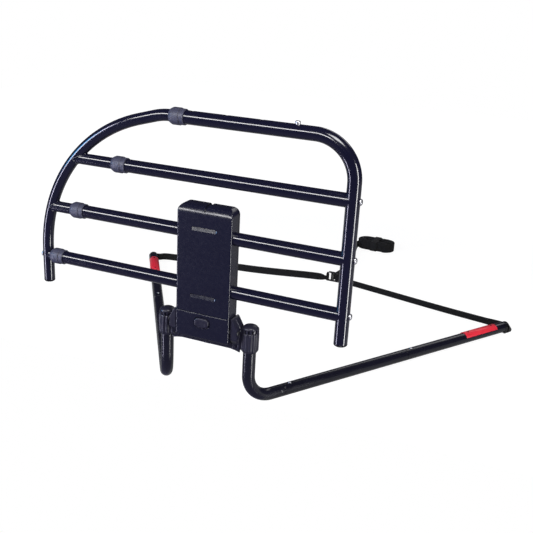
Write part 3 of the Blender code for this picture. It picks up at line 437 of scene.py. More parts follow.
def woven(name, colour, lighter, pitch, rib):
    """Woven webbing: ribs across and threads along, from the strip's own lengths in UV."""
    s = Shader(name, colour, 0.85, Sheen_Weight=0.04, Sheen_Roughness=0.5, Specular_IOR_Level=0.3)
    uv = s.node("ShaderNodeUVMap")
    split = s.node("ShaderNodeSeparateXYZ")
    s.link(uv.outputs["UV"], split.inputs[0])
    along, across = split.outputs[0], split.outputs[1]
    row = s.math("FLOOR", s.math("DIVIDE", across, rib))
    shift = s.math("MULTIPLY", s.math("MODULO", row, 2.0), 0.5)
    warp = s.math("ADD", s.math("DIVIDE", along, pitch), shift)
    thread = s.math("ABSOLUTE", s.math("SINE", s.math("MULTIPLY", warp, math.pi)))
    edge = s.math("ABSOLUTE", s.math("SINE", s.math("MULTIPLY", s.math("DIVIDE", across, rib), math.pi)))
    height = s.math("MULTIPLY", thread, edge)
    # Painted shade and highlight: the valleys between threads and ribs are painted darker and the crowns
    # lighter, following the same height as the bump.
    s.blend(height, colour, lighter)
    s.bump(height, 0.0003, 0.9)
    s.bump(s.noise(2500, 2), 0.00008, 0.4)
    return s.mat


def label_film():
    """Printed red film, plain, with slight wear."""
    s = Shader("label_film", (0.90, 0.030, 0.055), 0.36, Coat_Weight=0.3, Coat_Roughness=0.2)
    s.blend(s.noise(90, 4), (0.84, 0.024, 0.046), (0.94, 0.042, 0.070))
    s.rough(s.noise(200, 3), 0.30, 0.42)
    return s.mat


MAT = {
    "paint": gloss_paint(),
    "leg_paint": leg_paint(),
    "steel": steel(),
    "collar": moulded("collar_plastic", (0.046, 0.046, 0.074), (0.058, 0.058, 0.092), 0.48,
                      grain=500, depth=0.00002),
    "housing": moulded("housing_plastic", (0.0055, 0.0058, 0.0165), (0.0078, 0.0080, 0.0215), 0.25,
                       gloss=0.65),
    "yoke": moulded("yoke_plastic", (0.012, 0.0115, 0.024), (0.017, 0.016, 0.031), 0.34),
    "plastic": moulded("black_plastic", (0.006, 0.006, 0.008), (0.010, 0.010, 0.012), 0.20),
    "nylon": moulded("nylon", (0.020, 0.020, 0.024), (0.028, 0.028, 0.032), 0.50),
    "webbing": woven("webbing", (0.0015, 0.0015, 0.0020), (0.0075, 0.0075, 0.0090), 0.0022, 0.0011),
    "elastic": woven("elastic", (0.0020, 0.0020, 0.0025), (0.011, 0.011, 0.013), 0.0012, 0.0016),
    "label": label_film(),
}
DARK = moulded("dark_stud", (0.05, 0.004, 0.006), (0.07, 0.006, 0.008), 0.5)
BLACKED = moulded("blacked_steel", (0.012, 0.012, 0.014), (0.020, 0.020, 0.023), 0.38)

for part in frame["record"]["subparts"]:
    node = frame["nodes"][part["node"]]
    node.data.materials.clear()
    node.data.materials.append(MAT[part["material_slot"]])


# ================================================================ rail tubes
def in_rail(points):
    return [Vector((x, RAIL_Y, z)) for x, z in points]


SIDE_STRAIGHT = ((SHOULDER_X - LEFT_X) - SHOULDER_BEND * math.sin(SHOULDER_ANGLE)
                 - SIDE_BEND * (1 - math.sin(SHOULDER_ANGLE))) / math.cos(SHOULDER_ANGLE)
SIDE_FOOT_Z = (TOP_Z - SHOULDER_BEND * (1 - math.cos(SHOULDER_ANGLE))
               - SIDE_STRAIGHT * math.sin(SHOULDER_ANGLE) - SIDE_BEND * math.cos(SHOULDER_ANGLE))


def outer_path():
    corner = (RIGHT_X - RIGHT_BEND, TOP_Z - RIGHT_BEND)
    points = [(COLLAR_X["top"] + COLLAR_LIP + GAP, TOP_Z)]
    points += arc(corner, RIGHT_BEND, math.pi / 2, 0, 36)
    return in_rail(points + [(RIGHT_X, FOOT_Z)])


def inner_path():
    turn = math.pi / 2 + SHOULDER_ANGLE
    points = [(high("inner_frame_tube").x, TOP_Z)]
    points += arc((SHOULDER_X, TOP_Z - SHOULDER_BEND), SHOULDER_BEND, math.pi / 2, turn, 16)
    points += arc((LEFT_X + SIDE_BEND, SIDE_FOOT_Z), SIDE_BEND, turn, math.pi, 56)
    return in_rail(points + [(LEFT_X, FOOT_Z)])


def crossbar(name, x_free, z, upright, radius, toward):
    """A bar from its free end to an upright, its other end shaped to the upright's surface.
    toward is the sign of X on the way to the upright.  Returns the bar and its end's rim."""
    tree = BVHTree.FromPolygons([v.co for v in upright.data.vertices],
                                [p.vertices for p in upright.data.polygons])
    way = Vector((toward, 0, 0))
    start = Vector((x_free, RAIL_Y, z))
    free, fitted = [], []
    for r in (radius, radius - WALL):
        free.append(circle(start, way, Vector((0, 1, 0)), r, SIDES))
        hits = [tree.ray_cast(point, way)[0] or point + way * 0.1 for point in free[-1]]
        fitted.append([hit - way * 0.0001 for hit in hits])
    bm = bmesh.new()
    add_rings(bm, [free[0], fitted[0], fitted[1], free[1]], closed=True)
    return to_object(bm, name, MAT["paint"]), fitted[0]


def weld_bead(name, rim):
    """Small rippled bead along the rim where a bar meets the side tube."""
    ways = tangents(rim, closed=True)
    centre = sum(rim, Vector()) / len(rim)
    rings = []
    for k, (point, way) in enumerate(zip(rim, ways)):
        out = (point - centre).normalized()
        radius = 0.0014 + 0.00022 * math.sin(k * 2 * math.pi * 14 / len(rim))
        side = (out - way * out.dot(way)).normalized()
        rings.append(circle(point, way, side, radius, 10))
    bm = bmesh.new()
    add_rings(bm, rings, closed=True)
    return to_object(bm, name, MAT["paint"], 60)


def snap_hole(x, z, radius):
    return rod(f"tool_hole_{x:.3f}", (x, RAIL_Y, z), (x, RAIL_Y, z + 0.03), radius)


def rail_tubes():
    outer = tube("outer_frame_look", outer_path(), OUTER_R, OUTER_R - WALL, (0, 1, 0), MAT["paint"])
    inner = tube("inner_frame_look", inner_path(), INNER_R, INNER_R - WALL, (0, 1, 0), MAT["paint"])
    for name in BARS:
        z = BAR_Z[name]
        start = COLLAR_X[name] + COLLAR_LIP + GAP
        bar, _ = crossbar(f"outer_crossbar_{name}_look", start, z, outer, OUTER_R, 1)
        place(bar, "rail", f"outer_crossbar_{name}")
        bar, rim = crossbar(f"inner_crossbar_{name}_look", high(f"inner_crossbar_{name}").x, z, inner,
                            INNER_R, -1)
        place(bar, "sliding_rail", f"inner_crossbar_{name}")
        if name != "lower":
            place(weld_bead(f"weld_bead_{name}", rim), "sliding_rail", None)
    boolean(outer, [snap_hole(SNAP_X - k * SNAP_PITCH, TOP_Z, SNAP_R + 0.00045) for k in range(4)])
    boolean(inner, [snap_hole(SNAP_X, TOP_Z, SNAP_R + 0.00045)])
    place(outer, "rail", "outer_frame_tube")
    place(inner, "sliding_rail", "inner_frame_tube")


def collars():
    lip, sleeve, length = INNER_R + 0.0004, OUTER_R + 0.0003, COLLAR_LENGTH
    shoulder = 0.0205
    step = COLLAR_R * 0.925
    profile = [(lip + 0.0003, 0), (COLLAR_R * 0.80, 0), (COLLAR_R * 0.825, 0.0003),
               (COLLAR_R * 0.985, 0.0052), (COLLAR_R, 0.0060), (COLLAR_R, shoulder - 0.0004),
               (COLLAR_R - 0.0004, shoulder), (step + 0.0003, shoulder), (step, shoulder + 0.0003),
               (step, length - 0.0006), (step - 0.0006, length), (sleeve, length),
               (sleeve, COLLAR_LIP), (lip, COLLAR_LIP), (lip, 0.0003)]
    for name, z in COLLARS.items():
        obj = turned(f"collar_{name}_look", profile, (COLLAR_X[name], RAIL_Y, z), (1, 0, 0),
                     MAT["collar"], 64, closed=True)
        place(obj, "rail", f"collar_{name}")


def hexagon(centre, way, side, across, sides):
    """Ring of points on a hexagon round the centre, for a socket."""
    up = side.cross(way).normalized()
    points = []
    for k in range(sides):
        a = 2 * math.pi * k / sides
        r = across / math.cos((a + math.pi / 6) % (math.pi / 3) - math.pi / 6)
        points.append(centre + (side * math.cos(a) + up * math.sin(a)) * r)
    return points


def bolt(name, node, face_x, z, way, body):
    """Button-head bolt with a hexagon recess."""
    head, shank, across, sides = 0.0036, 0.0030, 0.0019, 48
    start = Vector((face_x, RAIL_Y, z)) - way * GAP
    side = Vector((0, 1, 0))
    rings = [hexagon(start - way * h, way, side, across, sides) for h in (0.0015, head)]
    for r, h in ((0.0030, head), (0.0043, head * 0.90), (0.0054, head * 0.66), (0.0060, head * 0.36),
                 (0.0062, head * 0.12), (0.0062, 0), (shank, 0), (shank, -0.030)):
        rings.append(circle(start - way * h, way, side, r, sides))
    bm = bmesh.new()
    add_rings(bm, rings)
    place(to_object(bm, name, MAT["steel"]), body, node)


def bolts():
    for name in BARS:
        bolt(f"bolt_{name}_look", f"crossbar_bolt_{name}", RIGHT_X + OUTER_R, BAR_Z[name],
             Vector((-1, 0, 0)), "rail")
    bolt("bolt_inner_look", "inner_bolt_lower", LEFT_X - INNER_R, BAR_Z["lower"], Vector((1, 0, 0)),
         "sliding_rail")


def plugs():
    for side, x, radius, body in (("right", RIGHT_X, OUTER_R, "rail"),
                                  ("left", LEFT_X, INNER_R, "sliding_rail")):
        bore = radius - WALL - GAP
        profile = [(bore, -0.018), (bore, 0.0003), (radius - 0.0003, 0.0003), (radius, 0.0006),
                   (radius, 0.0020), (radius * 0.97, 0.0028), (radius * 0.86, 0.0039),
                   (radius * 0.62, 0.0046), (radius * 0.30, 0.0049)]
        obj = turned(f"tube_plug_{side}_look", profile, (x, RAIL_Y, FOOT_Z), (0, 0, -1), MAT["plastic"], 48)
        place(obj, body, f"tube_plug_{side}")


def snap_button():
    base = 0.0068
    top = SNAP_TOP - TOP_Z
    r = SNAP_R
    profile = [(0.0058, base - 0.001), (0.0058, base), (r, base), (r, OUTER_R + 0.0012),
               (r * 0.90, OUTER_R + 0.0015), (r * 0.90, OUTER_R + 0.0019), (r, OUTER_R + 0.0022),
               (r, top - 0.0022), (r * 0.95, top - 0.0013), (r * 0.80, top - 0.0005),
               (r * 0.50, top - 0.0001), (r * 0.15, top)]
    obj = turned("snap_button_look", profile, (SNAP_X, RAIL_Y, TOP_Z), (0, 0, 1), MAT["steel"], 40)
    place(obj, "snap", "snap_button")


# ================================================================ housing
CORNER_STEPS = 10


def casing_ring(half, bottom, top, r_top, r_bottom):
    """Rounded rectangle in X and Z: points (x, z, share of the top edge, share of the bottom)."""
    corners = [((half - r_bottom, bottom + r_bottom), r_bottom, -90, 0, 0),
               ((half - r_top, top - r_top), r_top, 0, 1, 1),
               ((-half + r_top, top - r_top), r_top, 90, 1, 0),
               ((-half + r_bottom, bottom + r_bottom), r_bottom, 180, 0, 1)]
    points = []
    for centre, radius, first, is_top, rising in corners:
        for k, (x, z) in enumerate(arc(centre, radius, math.radians(first),
                                       math.radians(first + 90), CORNER_STEPS)):
            t = ease(k / CORNER_STEPS)
            share = t if rising else 1 - t
            points.append((x, z, share if is_top else 0.0, 0.0 if is_top else share))
    return points


def casing(name, half, z, y, corners, front, back, mat):
    """Rounded box.  front and back are edge radii as (sides, top, bottom); 0 leaves them square."""
    rings = []
    steps = 8

    def ring(edge, face_y, inward, phi):
        inset = 1 - math.cos(phi)
        r_top = lerp(corners[0], max(corners[0] - edge[1] * 0.55, 0.0030), inset)
        r_bottom = lerp(corners[1], max(corners[1] - edge[2], 0.0008), inset)
        r_top, r_bottom = min(r_top, corners[0]), min(r_bottom, corners[1])
        outline = casing_ring(half - edge[0] * inset, z[0] + edge[2] * inset, z[1] - edge[1] * inset,
                              r_top, r_bottom)
        return [Vector((px, face_y + inward * (1 - math.sin(phi))
                        * (edge[0] + (edge[1] - edge[0]) * top + (edge[2] - edge[0]) * bottom), pz))
                for px, pz, top, bottom in outline]

    if max(back):
        rings += [ring(back, y[1], -1, math.pi / 2 * (1 - k / steps)) for k in range(steps + 1)]
    else:
        rings.append(ring(back, y[1], -1, 0))
    if max(front):
        rings += [ring(front, y[0], 1, math.pi / 2 * k / steps) for k in range(steps + 1)]
    else:
        rings.append(ring(front, y[0], 1, 0))
    bm = bmesh.new()
    add_rings(bm, rings)
    return to_object(bm, name, mat, 30)


def oval(half_x, half_z):
    """Outline of the release button: a softened rectangle."""
    steps, power = 56, 0.72
    points = []
    for k in range(steps):
        a = 2 * math.pi * k / steps
        c, s = math.cos(a), math.sin(a)
        points.append((half_x * math.copysign(abs(c) ** power, c),
                       half_z * math.copysign(abs(s) ** power, s)))
    return points


def grip_groove(name, z, half):
    """Cutter for a finger grip: deep under its upper lip, running out at the lower one."""
    depth, tall, lip = 0.0025, 0.0078, 0.0012
    outside = HOUSE_FRONT - 0.003
    ends = ((0, 0.10), (0.0010, 0.55), (0.0026, 0.88), (0.0045, 1.0))
    rings = []
    for x, full in [(inset - half, f) for inset, f in ends] + [(half - inset, f) for inset, f in ends[::-1]]:
        top, bottom = z + tall / 2 * full, z - tall / 2 * full
        section = [(outside, top), (HOUSE_FRONT + depth * full * 0.85, top),
                   (HOUSE_FRONT + depth * full, top - lip * full), (HOUSE_FRONT, bottom), (outside, bottom)]
        rings.append([Vector((x, py, pz)) for py, pz in section])
    bm = bmesh.new()
    add_rings(bm, rings)
    return to_object(bm, name, None)


def top_groove(name):
    """Cutter for the slot that runs over the top at the centre line."""
    centre = (HOUSE_FRONT + SHOULDER, HOUSE_TOP - SHOULDER)
    start, depth, half = math.radians(155), 0.0030, 0.0017
    outer = arc(centre, SHOULDER + 0.004, start, math.pi / 2, 12)
    inner = arc(centre, SHOULDER - depth, start, math.pi / 2, 12)
    beyond = HOUSE_BACK + 0.004
    outline = inner + [(beyond, HOUSE_TOP - depth), (beyond, HOUSE_TOP + 0.004)] + outer[::-1]
    return prism(name, [(-half, y, z) for y, z in outline], (2 * half, 0, 0))


def top_notch(name):
    """V cut where the slot leaves the top at the back."""
    z = HOUSE_TOP
    outline = [(-0.0048, z + 0.001), (-0.0012, z - 0.0050), (0.0012, z - 0.0050), (0.0048, z + 0.001)]
    return prism(name, [(px, HOUSE_SPLIT - 0.0045, pz) for px, pz in outline], (0, 0.02, 0))


CASING_R = 0.0135
EDGE = 0.0030
REAR_EDGE = 0.0026


def front_cover():
    front = casing("housing_front_look", HOUSE_HALF, (HOUSE_SEAM + SEAM / 2, HOUSE_TOP),
                   (HOUSE_FRONT, HOUSE_SPLIT - GAP), (CASING_R, 0.0008), (EDGE, SHOULDER, 0.0008),
                   (0, 0, 0), MAT["housing"])
    boolean(front, [grip_groove("tool_grip_high", 0.355, 0.0265),
                    grip_groove("tool_grip_low", 0.2215, 0.0275),
                    top_groove("tool_top"), top_notch("tool_notch")])
    round_edges(front, 0.00040)
    place(front, "rail", "housing_front_cover")


def rear_cover():
    screws = {k: middle(f"cover_screw_{k}").z for k in (1, 2)}
    rear = casing("housing_rear_look", HOUSE_HALF, (HOUSE_SEAM + SEAM / 2, HOUSE_TOP),
                  (HOUSE_SPLIT + 0.0004, HOUSE_BACK), (CASING_R, 0.0008), (0, 0, 0),
                  (REAR_EDGE, REAR_EDGE, 0.0008), MAT["housing"])
    cone = [(0.0018, -0.006), (0.0018, -0.0030), (0.0042, -0.0008), (0.0042, 0.002)]
    tools = [top_groove("tool_top"), top_notch("tool_notch")]
    tools += [turned(f"tool_cone_{k}", cone, (0, HOUSE_BACK, z), (0, 1, 0), None, 40)
              for k, z in screws.items()]
    boolean(rear, tools)
    round_edges(rear, 0.0003)
    place(rear, "rail", "housing_rear_cover")
    for k, z in screws.items():
        cover_screw(k, z)


def lower_cover():
    """The foot of the housing, with the release button in its dished hole."""
    lower = casing("housing_lower_look", HOUSE_HALF, (HOUSE_BOTTOM, HOUSE_SEAM - SEAM / 2),
                   (HOUSE_FRONT, HOUSE_BACK), (0.0020, 0.0055), (EDGE, 0.0020, 0.0045),
                   (REAR_EDGE, 0.0020, 0.0045), MAT["housing"])
    centre = middle("release_button")
    size = (high("release_button") - low("release_button")) / 2
    half_x, half_z = size.x - 0.0020, size.z - 0.0020
    tools = []
    for name, play, depth in (("tool_dish", 0.0019, 0.0108), ("tool_button", 0.0007, 0.018)):
        outline = [(x, HOUSE_FRONT - 0.01, z + centre.z) for x, z in oval(half_x + play, half_z + play)]
        tools.append(prism(name, outline, (0, depth, 0)))
    boolean(lower, tools)
    round_edges(lower, 0.00035)
    place(lower, "rail", "housing_lower_cover")
    release_button(centre.z, half_x, half_z)


def cover_screw(k, z):
    head = [(0.0016, -0.0110), (0.0016, -0.0032), (0.0037, -0.0012), (0.0037, -0.0006),
            (0.0033, -0.0003), (0.0012, -0.0002)]
    screw = turned(f"cover_screw_{k}_look", head, (0, HOUSE_BACK, z), (0, 1, 0), MAT["steel"], 40)
    cross = []
    for turn in (0, math.pi / 2):
        way = Vector((math.cos(turn), 0, math.sin(turn))) * 0.0021
        wide = Vector((-math.sin(turn), 0, math.cos(turn))) * 0.0004
        at = Vector((0, HOUSE_BACK - 0.0012, z))
        cross.append(prism(f"tool_cross_{turn:.0f}", [at - way - wide, at + way - wide, at + way + wide,
                                                      at - way + wide], (0, 0.003, 0)))
    boolean(screw, cross)
    place(screw, "rail", f"cover_screw_{k}")


def release_button(z, half_x, half_z):
    """Crowned push button with a rolled rim."""
    face = low("release_button").y
    layers = [(0.30, face + 0.00035), (0.55, face + 0.0002), (0.74, face), (0.86, face + 0.0002),
              (0.93, face + 0.0007), (0.975, face + 0.0014), (1.0, face + 0.0026), (1.0, face + 0.0085)]
    rings = []
    for share, y in layers:
        inset_x = half_x - (1 - share) * half_z * 1.25
        rings.append([Vector((x, y, z + zz)) for x, zz in oval(inset_x, half_z * share)])
    bm = bmesh.new()
    add_rings(bm, rings)
    button = to_object(bm, "release_button_look", MAT["yoke"], 40)
    stem = rod("stem", (0, face + 0.008, z), (0, high("release_button").y, z), 0.004)
    button = joined("release_button_look", [button, stem], MAT["yoke"], 40)
    place(button, "button", "release_button")


# ================================================================ yoke and sockets
TEETH = 14
SLEEVE_R = SOCKET_R + 0.0008


def flutes(angle, row):
    """Radius share of the sleeve: flat-bottomed grooves between ribs."""
    wave = 0.5 - 0.5 * math.cos(angle * TEETH)
    return 1 - 0.060 * ease((wave - 0.35) / 0.45) if 1 < row < 6 else 1


def notches(angle, row):
    """Radius share of the cap's skirt: a narrow notch between each two teeth."""
    wave = 0.5 - 0.5 * math.cos(angle * TEETH)
    return 1 - 0.17 * ease((wave - 0.62) / 0.20) if 0 < row < 4 else 1


EAR_IN = HOUSE_HALF + 0.0020
EAR_OUT = LEG_X - SOCKET_R - GAP * 2
EAR_TOP = high("base_yoke").z
NEAR = LEG_X - SOCKET_R                  # the sleeve's side that faces the housing
BEAM_FRONT = RAIL_Y + 0.0030
BEAM_LOW = 0.1185


def yoke_beam():
    """The bar between the ears, its lower edge arched."""
    back, top, skirt, flat = RAIL_Y + 0.0127, 0.1310, 0.1150, 0.046
    outline = []
    for k in range(25):
        x = lerp(-EAR_OUT, EAR_OUT, k / 24)
        side = max(0.0, (abs(x) - flat) / (EAR_OUT - flat))
        outline.append((x, BEAM_FRONT, skirt + 0.0045 - 0.0045 * side * side))
    outline += [(EAR_OUT, BEAM_FRONT, top), (-EAR_OUT, BEAM_FRONT, top)]
    return [prism("beam", outline, (0, 0.0032, 0)),
            block("beam_back", (-EAR_OUT, EAR_OUT), (BEAM_FRONT, back), (BEAM_LOW + 0.001, top))]


def yoke_side(sign):
    """One ear with its gusset, and the fluted sleeve that holds the leg."""
    front = HOUSE_FRONT + 0.0045
    ear = [(EAR_IN, 0.1440), (EAR_IN, EAR_TOP - 0.0005), (EAR_IN + 0.0035, EAR_TOP - 0.0012),
           (NEAR - 0.0008, SOCKET_TOP + 0.0062), (NEAR - 0.0008, 0.1475), (NEAR - 0.0040, 0.1440)]
    under = [(front, 0.1450), (BEAM_FRONT + 0.001, 0.1270), (BEAM_FRONT + 0.001, 0.1450)]
    gusset = [(EAR_IN + 0.0005, EAR_TOP - 0.0010), (EAR_IN + 0.0050, EAR_TOP - 0.0020),
              (NEAR + 0.0012, SOCKET_TOP + 0.0050), (NEAR + 0.0040, SOCKET_TOP - 0.0010),
              (NEAR + 0.0040, SOCKET_BOTTOM + 0.0070), (NEAR - 0.004, SOCKET_BOTTOM + 0.0026),
              (EAR_IN + 0.0005, BEAM_LOW + 0.0006)]
    boss = [(0.0001, SOCKET_BOTTOM + 0.0035), (0.0030, SOCKET_BOTTOM + 0.0035),
            (0.0042, SOCKET_BOTTOM + 0.0065), (0.0042, SOCKET_TOP + 0.0005),
            (0.0034, SOCKET_TOP + 0.0020), (0.0001, SOCKET_TOP + 0.0024)]
    rib = sorted((sign * (EAR_IN + 0.0058), sign * (EAR_IN + 0.0078)))
    bore = LEG_R + 0.0003
    sleeve = [(bore, SOCKET_BOTTOM), (SLEEVE_R - 0.0034, SOCKET_BOTTOM),
              (SLEEVE_R - 0.0006, SOCKET_BOTTOM + 0.0042), (SLEEVE_R, SOCKET_BOTTOM + 0.0060),
              (SLEEVE_R, SOCKET_TOP - 0.0020), (SLEEVE_R - 0.0006, SOCKET_TOP - 0.0004),
              (bore, SOCKET_TOP - 0.0004)]
    up = (0, 0, 1)
    return [prism(f"ear_{sign}", [(sign * x, front, z) for x, z in ear], (0, HOUSE_BACK - front, 0)),
            prism(f"under_{sign}", [(sign * EAR_IN, y, z) for y, z in under],
                  (sign * (NEAR - 0.0020 - EAR_IN), 0, 0)),
            prism(f"gusset_{sign}", [(sign * x, BEAM_FRONT - 0.0015, z) for x, z in gusset],
                  (0, HOUSE_BACK - BEAM_FRONT - 0.002, 0)),
            turned(f"boss_{sign}", boss, (sign * (NEAR - 0.0015), BEAM_FRONT - 0.0002, 0), up, None, 28),
            block(f"rib_{sign}", rib, (BEAM_FRONT - 0.0038, BEAM_FRONT + 0.001),
                  (BEAM_LOW + 0.006, SOCKET_TOP + 0.004)),
            turned(f"sleeve_{sign}", sleeve, (sign * LEG_X, LEG_Y, 0), up, None, 168, closed=True,
                   shape=flutes)]


def yoke():
    """The casting, joined and melted into one skin with soft inner corners."""
    body = joined("base_yoke_look", yoke_beam() + yoke_side(-1) + yoke_side(1), MAT["yoke"])
    melt = body.modifiers.new("melt", "REMESH")
    melt.mode = "VOXEL"
    melt.voxel_size = 0.00065
    smooth = body.modifiers.new("smooth", "SMOOTH")
    smooth.factor = 0.5
    smooth.iterations = 3
    bake(body, 180)
    boolean(body, [rod(f"tool_pin_{sign}", (sign * (EAR_IN - 0.005), PIVOT.y, PIVOT.z),
                       (sign * (EAR_OUT + 0.004), PIVOT.y, PIVOT.z), 0.0034) for sign in (-1, 1)])
    body.data.materials.clear()
    body.data.materials.append(MAT["yoke"])
    body.data.shade_smooth()
    place(body, "base", "base_yoke")


def dome_caps():
    r = SOCKET_R + 0.0003
    skirt = 0.0068
    for sign, side in ((-1, "left"), (1, "right")):
        profile = [(LEG_R + 0.001, 0.0), (r - 0.0003, 0.0), (r, 0.0004), (r, skirt - 0.0005),
                   (r - 0.0002, skirt), (r - 0.0016, skirt + 0.0003)]
        height = DOME_TOP - SOCKET_TOP - skirt - 0.0003
        profile += [((r - 0.0016) * math.cos(a) ** 0.8, skirt + 0.0003 + height * math.sin(a))
                    for a in (math.radians(d) for d in (8, 16, 26, 38, 50, 62, 74, 84, 88.5))]
        cap = turned(f"dome_cap_{side}_look", profile, (sign * LEG_X, LEG_Y, SOCKET_TOP), (0, 0, 1),
                     MAT["yoke"], 168, shape=notches)
        place(cap, "base", f"leg_dome_cap_{side}")


def pivot_pins():
    for sign, side in ((-1, "left"), (1, "right")):
        start = low("pivot_pin_right").x
        length = high("pivot_pin_right").x - start
        profile = [(0.0022, 0), (0.0028, 0.0004), (0.0030, 0.0010), (0.0030, length - 0.0020),
                   (0.0048, length - 0.0020), (0.0048, length - 0.0008), (0.0036, length)]
        pin = turned(f"pivot_pin_{side}_look", profile, (sign * start, PIVOT.y, PIVOT.z), (sign, 0, 0),
                     BLACKED, 40)
        place(pin, "base", f"pivot_pin_{side}")


# ================================================================ legs
def leg_way(sign):
    return Vector((sign * math.sin(LEG_SPLAY), math.cos(LEG_SPLAY), 0))


def leg_side(sign):
    way = leg_way(sign)
    return Vector((-way.y, way.x, 0))


def leg_point(sign, along, height=LEG_R):
    return Vector((sign * LEG_X, LEG_Y, height)) + leg_way(sign) * along


def spigot_tube(name, path, sign, seam, mat):
    points = path + [leg_point(sign, seam - 0.0004), leg_point(sign, seam),
                     leg_point(sign, seam + 0.0001), leg_point(sign, seam + SPIGOT)]
    outers = [LEG_R] * (len(path) + 1) + [LEG_R - 0.0005, SPIGOT_R, SPIGOT_R]
    bores = [LEG_R - WALL if r > SPIGOT_R else SPIGOT_R - WALL for r in outers]
    return tube(name, points, outers, bores, leg_side(sign), mat, 48)


def leg_pin(name, node, sign, seam):
    """Snap button in a drilled dimple on top of the tube."""
    at = leg_point(sign, seam + SPIGOT - PIN_ALONG)
    r = 0.0032
    profile = [(r + 0.001, 0.0064), (r + 0.001, 0.0072), (r, 0.0072), (r, LEG_R - 0.0002),
               (r * 0.92, LEG_R + 0.0006), (r * 0.70, LEG_R + 0.0012), (r * 0.30, LEG_R + 0.0016)]
    place(turned(name, profile, at, (0, 0, 1), MAT["steel"], 32), "base", node)


def pin_hole(sign, seam):
    at = leg_point(sign, seam + SPIGOT - PIN_ALONG)
    profile = [(0.0037, 0.004), (0.0037, LEG_R - 0.0010), (0.0046, LEG_R - 0.0001),
               (0.0052, LEG_R + 0.001)]
    return turned("tool_pin_hole", profile, at, (0, 0, 1), None, 32)


def legs():
    paint = MAT["leg_paint"]
    for sign, side in ((-1, "left"), (1, "right")):
        way = leg_way(sign)
        foot = Vector((sign * LEG_X, LEG_Y, 0))
        bend = [foot + way * (LEG_BEND - x) + Vector((0, 0, LEG_R + LEG_BEND - z))
                for x, z in arc((0, 0), LEG_BEND, 0, math.pi / 2, 32)]
        elbow = spigot_tube(f"leg_elbow_{side}_look", [foot + Vector((0, 0, SOCKET_TOP - GAP))] + bend,
                            sign, LEG_SEAMS[0], paint)
        middle_tube = spigot_tube(f"leg_middle_{side}_look", [leg_point(sign, LEG_SEAMS[0] + 0.0006)],
                                  sign, LEG_SEAMS[1], paint)
        last = tube(f"leg_end_{side}_look", [leg_point(sign, LEG_SEAMS[1] + 0.0006),
                                             leg_point(sign, LEG_REACH)],
                    LEG_R, LEG_R - WALL, leg_side(sign), paint, 48)
        boolean(middle_tube, [pin_hole(sign, LEG_SEAMS[0])])
        boolean(last, [pin_hole(sign, LEG_SEAMS[1])])
        place(elbow, "base", f"leg_elbow_{side}")
        place(middle_tube, "base", f"leg_middle_tube_{side}")
        place(last, "base", f"leg_end_tube_{side}")
        leg_pin(f"leg_pin_near_{side}_look", f"leg_snap_near_{side}", sign, LEG_SEAMS[0])
        leg_pin(f"leg_pin_far_{side}_look", f"leg_snap_far_{side}", sign, LEG_SEAMS[1])
        leg_rivet(side, sign)
        end_cap(side, sign)
        label(side, sign)


def leg_rivet(side, sign):
    """Small rivet on the outer flank, just before the first seam."""
    rise = math.radians(20)
    tilt = -leg_side(sign) * sign * math.cos(rise) + Vector((0, 0, math.sin(rise)))
    profile = [(0.0019, -0.002), (0.0019, 0.0001), (0.0017, 0.0004), (0.0011, 0.0007), (0.0004, 0.0008)]
    rivet = turned(f"leg_rivet_{side}", profile, leg_point(sign, LEG_SEAMS[0] - 0.008) + tilt * LEG_R,
                   tilt, MAT["steel"], 24)
    place(rivet, "base", None)


def end_cap(side, sign):
    """Black cap: round over the tube, flat underneath, cut down to a wedge at the tip."""
    way, across = leg_way(sign), leg_side(sign)
    outline = arc((0, LEG_R), LEG_R, math.radians(-8), math.radians(188), 28)
    outline += [(-LEG_R * 0.93, 0.0006), (-LEG_R * 0.88, 0.0), (LEG_R * 0.88, 0.0), (LEG_R * 0.93, 0.0006)]
    rings = []
    for s, lift, wide in ((0.0, 0.94, 0.96), (0.0006, 1.0, 1.0), (0.0130, 1.0, 1.0), (0.0140, 0.985, 1.0),
                          (0.0245, 0.46, 0.90), (0.0256, 0.40, 0.86), (CAP_LENGTH, 0.34, 0.80)):
        face = leg_point(sign, LEG_REACH + GAP + s, 0)
        rings.append([face + across * a * wide + Vector((0, 0, h * lift)) for a, h in outline])
    bm = bmesh.new()
    add_rings(bm, rings)
    cap = to_object(bm, f"leg_cap_{side}_look", MAT["plastic"], 28)
    top = leg_point(sign, LEG_REACH + 0.0050, 2 * LEG_R)
    dish = turned("tool_dish", [(0.0036, -0.0016), (0.0041, 0.003)], top, (0, 0, 1), None, 40)
    slot = leg_point(sign, LEG_REACH + CAP_LENGTH * CAP_SLOT, STRAP_Z)
    half, reach, rise = way * 0.0020, across * 0.03, Vector((0, 0, 0.0095))
    slot_tool = prism("tool_slot", [slot - half - reach - rise, slot + half - reach - rise,
                                    slot + half + reach - rise, slot - half + reach - rise],
                      rise * 2)
    boolean(cap, [dish, slot_tool])
    stud = turned("stud", [(0.0024, -0.003), (0.0024, -0.0009), (0.0020, -0.0004), (0.0006, -0.0002)],
                  top, (0, 0, 1), None, 32)
    plug = turned("plug", [(LEG_R - WALL - GAP, -0.018), (LEG_R - WALL - GAP, 0.004)],
                  leg_point(sign, LEG_REACH), way, None, 40)
    cap = joined(f"leg_cap_{side}_look", [cap, stud, plug], MAT["plastic"], 28)
    place(cap, "base", f"leg_end_cap_{side}")


